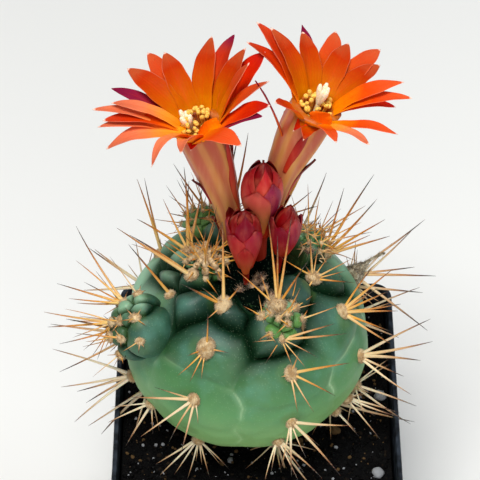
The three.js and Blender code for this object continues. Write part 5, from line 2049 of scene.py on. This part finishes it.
FLOWER_LEFT = Flower(
    side="left", base=(-5.0, 9.8, 103), bend=(-6.6, 10.0, 121), throat=(-14, 13.5, 142.3),
    axis=(-0.276, 0.05, 0.96), style=(2.0, 178, -0.9), seed=61,
    inner=(
        Petal(72, 65, 21.9), Petal(108, 64, 20.2), Petal(137, 64, 21.8),
        Petal(36, 61, 20.6, foot=1.2, arch=0.5),
        Petal(5, 52, 20.5, Tone.GLOW, foot=1.2, arch=0.3),
        Petal(351, 64, 22.5, Tone.GLOW, broad=0.9, foot=1.0, arch=0.5),
        Petal(336, 71, 22.5, Tone.CRIMSON, arch=0.5, foot=1.6),
        Petal(304, 60, 5.4, Tone.WARM, broad=1.2, arch=0.2, point=-1, foot=1.4),
        Petal(306, 76, 21.0, Tone.WARM, -1.0, broad=1.0, root=-34, arch=0.9, foot=1.6),
        Petal(264, 68, 18.5, Tone.SALMON, -0.6, broad=1.1, point=0.8, foot=1.8),
        Petal(239, 74, 20.0, Tone.SALMON, -2.0, broad=0.5, arch=1.4),
        Petal(176, 60, 20.3, Tone.SALMON, broad=0.7), Petal(183, 70, 21.7, Tone.EMBER, broad=0.75),
        Petal(192, 83, 22.0, Tone.SALMON, -0.8, root=30),
    ),
    outer=(
        Petal(117, 70, 23.5, Tone.GLOW), Petal(150, 73, 23.0, Tone.PLUM, broad=0.7),
        Petal(178, 66, 24.3, Tone.SALMON, broad=0.65), Petal(184, 74, 22.9, Tone.SALMON, broad=0.6),
        Petal(28, 69, 22.6, Tone.CRIMSON, broad=1.3, foot=1.4, arch=0.5), Petal(57, 67, 23.0, Tone.DARK_TIP),
        Petal(329, 73, 21.0, Tone.PLUM, broad=0.85, arch=0.6),
        Petal(262, 89, 9.5, Tone.CRIMSON, broad=0.8, point=1),
    ),
    scales=(
        Scale(0.34, 0.93, 334, 1.5, light=0.75, flare=0.3),
        Scale(0.48, 0.7, 205, 0.9, plum=0.6, dark=0.7, flare=0.9),
        Scale(0.3, 0.48, 287, 1.3, dark=0.3, flare=0.4), Scale(0.5, 0.75, 90, 1.7, light=0.3, flare=0.8),
        Scale(0.62, 0.88, 140, 1.6, light=0.3, flare=0.8), Scale(0.55, 0.8, 30, 1.6, light=0.3, flare=0.8),
        Scale(0.1, 0.35, 180, 1.9, dark=0.4, flare=0.6), Scale(0.15, 0.4, 60, 1.9, dark=0.4, flare=0.6),
    ),
)

FLOWER_RIGHT = Flower(
    side="right", base=(1.8, 13.0, 103), bend=(2.2, 15.3, 121), throat=(13.4, 15.8, 145),
    axis=(0.276, 0.05, 0.96), style=(0.5, 60, 1.3), seed=62,
    inner=(
        Petal(141, 59, 21.1), Petal(153, 72, 22.0, Tone.EMBER, broad=0.9), Petal(107, 68, 19.5),
        Petal(71, 68, 19.5),
        Petal(41, 69, 19.5), Petal(8, 59, 21.0, Tone.WARM, broad=0.8),
        Petal(0, 67, 22.1, Tone.WARM, broad=0.7),
        Petal(338, 76, 20.0, Tone.WARM, -1.4, broad=0.65, root=-40, arch=0.3, foot=1.4),
        Petal(312, 77, 17.2, Tone.SALMON, -1.0, broad=0.6, root=-20, arch=0.4, foot=1.2),
        Petal(278, 70, 19.0, Tone.WARM, -0.8, root=-10, arch=0.3, point=0.7, foot=1.4),
        Petal(264, 60, 6.4, Tone.WARM, root=24, arch=0.2, point=-1, foot=1.4),
        Petal(223, 67, 19.0, Tone.EMBER, 0.8, broad=0.75, arch=0.7, foot=1.5),
    ),
    outer=(
        Petal(145, 63, 24.0, Tone.EMBER), Petal(146, 63, 20.6, Tone.EMBER, broad=0.8),
        Petal(102, 76, 23.5, Tone.PLUM, broad=0.7), Petal(81, 75, 23.3, Tone.GLOW),
        Petal(51, 71, 23.3, Tone.GLOW),
        Petal(26, 86, 21.3, Tone.PLUM, broad=0.45), Petal(21, 92, 21.3, Tone.CRIMSON, broad=0.45),
        Petal(197, 66, 19.5, Tone.PLUM, broad=0.32, arch=0.3, low=9.0),
        Petal(238, 98, 10.0, Tone.CRIMSON, broad=0.7, point=1),
        Petal(255, 99, 11.0, Tone.FIRE, broad=1.1, point=1),
    ),
    scales=(
        Scale(0.4, 0.74, 338, 1.2, light=0.5, dark=0.8, flare=0.7),
        Scale(0.5, 0.72, 60, 1.6, light=0.3, flare=0.8),
        Scale(0.64, 0.97, 264, 1.2, light=0.3, flare=0.05),
        Scale(0.6, 0.86, 130, 1.6, light=0.3, flare=0.8), Scale(0.35, 0.6, 170, 1.4, light=0.3, flare=0.6),
        Scale(0.12, 0.36, 130, 1.9, dark=0.4, flare=0.6), Scale(0.15, 0.4, 10, 1.9, dark=0.4, flare=0.6),
    ),
)

BUDS = (
    Bud("bud_tall", (0.4, 6.6, 102), (0.5, 6.9, 122), (1.5, 7.5, 135.6),
        (2.2, 2.1, 2.1, 2.2, 2.5, 3.2, 4.0, 4.4, 4.0, 2.9, 0.3), seed=31, scales=(
            Scale(0.4, 0.96, 60, 4.2), Scale(0.4, 0.97, 120, 4.2), Scale(0.5, 0.97, 335, 4.0, 0.3, shell=0.1),
            Scale(0.5, 0.985, 200, 4.2, 0.3, shell=0.12), Scale(0.55, 0.99, 280, 3.2, 0.7, shell=0.05),
            Scale(0.35, 0.93, 192, 4.2, 0.45, shell=0.3), Scale(0.34, 0.88, 345, 3.6, 0.95, shell=0.25),
            Scale(0.3, 0.88, 302, 3.9, 0.2, 0.95, shell=0.42),
            Scale(0.34, 0.82, 256, 4.3, 1.0, 0.1, shell=0.6),
        )),
    Bud("bud_left", (-2.6, -0.8, 102), (-3.0, -0.4, 116), (-3.1, 0.3, 127.2),
        (1.0, 1.0, 1.2, 1.6, 2.3, 3.0, 3.5, 3.65, 3.4, 2.5, 0.3), seed=32, scales=(
            Scale(0.34, 0.95, 70, 3.8), Scale(0.34, 0.93, 125, 3.8), Scale(0.5, 0.99, 200, 4.0, dark=0.3),
            Scale(0.5, 0.97, 340, 4.0, dark=0.2), Scale(0.5, 0.99, 275, 4.6, 0.0, 0.3, 0.3, shell=0.2),
            Scale(0.4, 0.93, 185, 3.0, 0.3, 0.3, 0.2, flare=1.0, shell=0.3),
            Scale(0.3, 0.84, 308, 4.0, 0.5, 0.45, shell=0.42),
            Scale(0.3, 0.8, 232, 4.0, 0.6, 0.1, shell=0.45),
            Scale(0.24, 0.66, 270, 1.7, 0.75, shell=0.7, flare=0.05),
        )),
    Bud("bud_right", (4.4, 1.2, 102), (5.6, 1.8, 114), (7.6, 2.8, 126.2),
        (1.0, 1.0, 1.0, 1.1, 1.4, 2.2, 2.9, 3.15, 3.0, 2.2, 0.3), seed=33, scales=(
            Scale(0.44, 0.95, 80, 3.4), Scale(0.44, 0.93, 130, 3.4),
            Scale(0.5, 0.99, 300, 4.0, 0.0, dark=0.3),
            Scale(0.46, 0.88, 200, 3.2, 0.0, 0.2, 0.3, flare=0.8, shell=0.3),
            Scale(0.44, 0.9, 10, 3.2, 0.1, 0.4, 0.2, shell=0.25),
            Scale(0.42, 0.93, 305, 3.4, 0.15, 0.7, shell=0.42),
            Scale(0.42, 0.84, 248, 3.8, 0.0, 0.3, 0.1, shell=0.5),
        )),
)

WOOL_SPOTS = (
    (260, 280, 1.6, 1.2), (266, 290, 1.3, 1.0), (252, 286, 1.0, 0.8), (274, 297, 1.2, 0.9),
    (240, 290, 0.9, 0.7),
    (303, 262, 0.9, 0.8),
)


@dataclass(frozen=True)
class Lamp:
    """A soft square light."""

    name: str
    place: Point  # where it stands, in metres
    target: Point  # what it points at, in metres
    size: float  # its width, in metres
    power: float
    colour: Point = (1.0, 1.0, 1.0)

    def hang(self) -> None:
        """Adds it to the scene."""
        data = bpy.data.lights.new(self.name, "AREA")
        data.size, data.energy, data.color = self.size, self.power, self.colour
        made = bpy.data.objects.new(self.name, data)
        made.location = self.place
        made.rotation_euler = (Vector(self.target) - Vector(self.place)).to_track_quat("-Z", "Y").to_euler()
        bpy.context.scene.collection.objects.link(made)


@dataclass(frozen=True)
class Studio:
    """The floor, the lights and the camera."""

    eye: Eye = EYE
    floor: str = "#ececea"
    half: float = 3000.0  # half of the floor's width
    glow: float = 0.26  # how bright the room is
    lamps: tuple[Lamp, ...] = (
        Lamp("key", (-0.12, -0.2, 0.95), (0, 0, 0.1), 0.36, 8.0, (1.0, 0.99, 0.96)),
        Lamp("front", (0.1, -0.95, 0.35), (0, 0, 0.09), 0.6, 3.3, (1.0, 0.97, 0.92)),
        Lamp("side", (0.6, 0.1, 0.5), (0, 0, 0.1), 0.4, 1.2, (0.85, 0.94, 1.0)),
    )

    def build(self) -> None:
        """Makes all of it."""
        scene = bpy.context.scene
        ground = Pile()
        half = self.half
        ground.add([(-half, -half, 0), (half, -half, 0), (half, half, 0), (-half, half, 0)], [(0, 1, 2, 3)])
        matt = Shader("floor")
        matt.colour = self.floor
        floor = ground.piece("floor", matt.finish(0.9))
        world = bpy.data.worlds.new("room")
        world.use_nodes = True
        room = world.node_tree.nodes["Background"].inputs
        room["Color"].default_value = (0.92, 0.95, 1.0, 1.0)
        room["Strength"].default_value = self.glow
        scene.world = world
        for lamp in self.lamps:
            lamp.hang()
        data = bpy.data.cameras.new("camera")
        data.lens, data.sensor_width = self.eye.lens, self.eye.sensor
        data.clip_start, data.clip_end = 0.01, 20.0
        camera = bpy.data.objects.new("camera", data)
        camera.location = Vector(self.eye.place) * METRES
        camera.rotation_euler = (math.radians(90 - self.eye.down), 0, 0)
        scene.collection.objects.link(camera)
        scene.camera = camera
        scene.view_settings.view_transform = "Standard"


def main() -> None:
    """Builds the whole scene."""
    logging.basicConfig(level=logging.INFO, format="%(message)s")
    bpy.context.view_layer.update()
    kit = Kit()
    pot = Pot()
    skin_grid, pad = (210, 420), (1.7, 1.3)
    stem = Ball("stem", STEM_FORM, SpineRule(), STEM_AREOLES, skin_grid, pad, hair=0.42, density=34, seed=51)
    parts = [pot, PottingMix(pot), stem, Neck(STEM_MIDDLE), CrownWool(STEM_FORM, WOOL_SPOTS), *pups()]
    parts += [FLOWER_LEFT, FLOWER_RIGHT, *BUDS, WitheredFlower()]
    for part in parts:
        part.build()
        part.dress(kit)
    Studio().build()


if __name__ == "__main__":
    main()
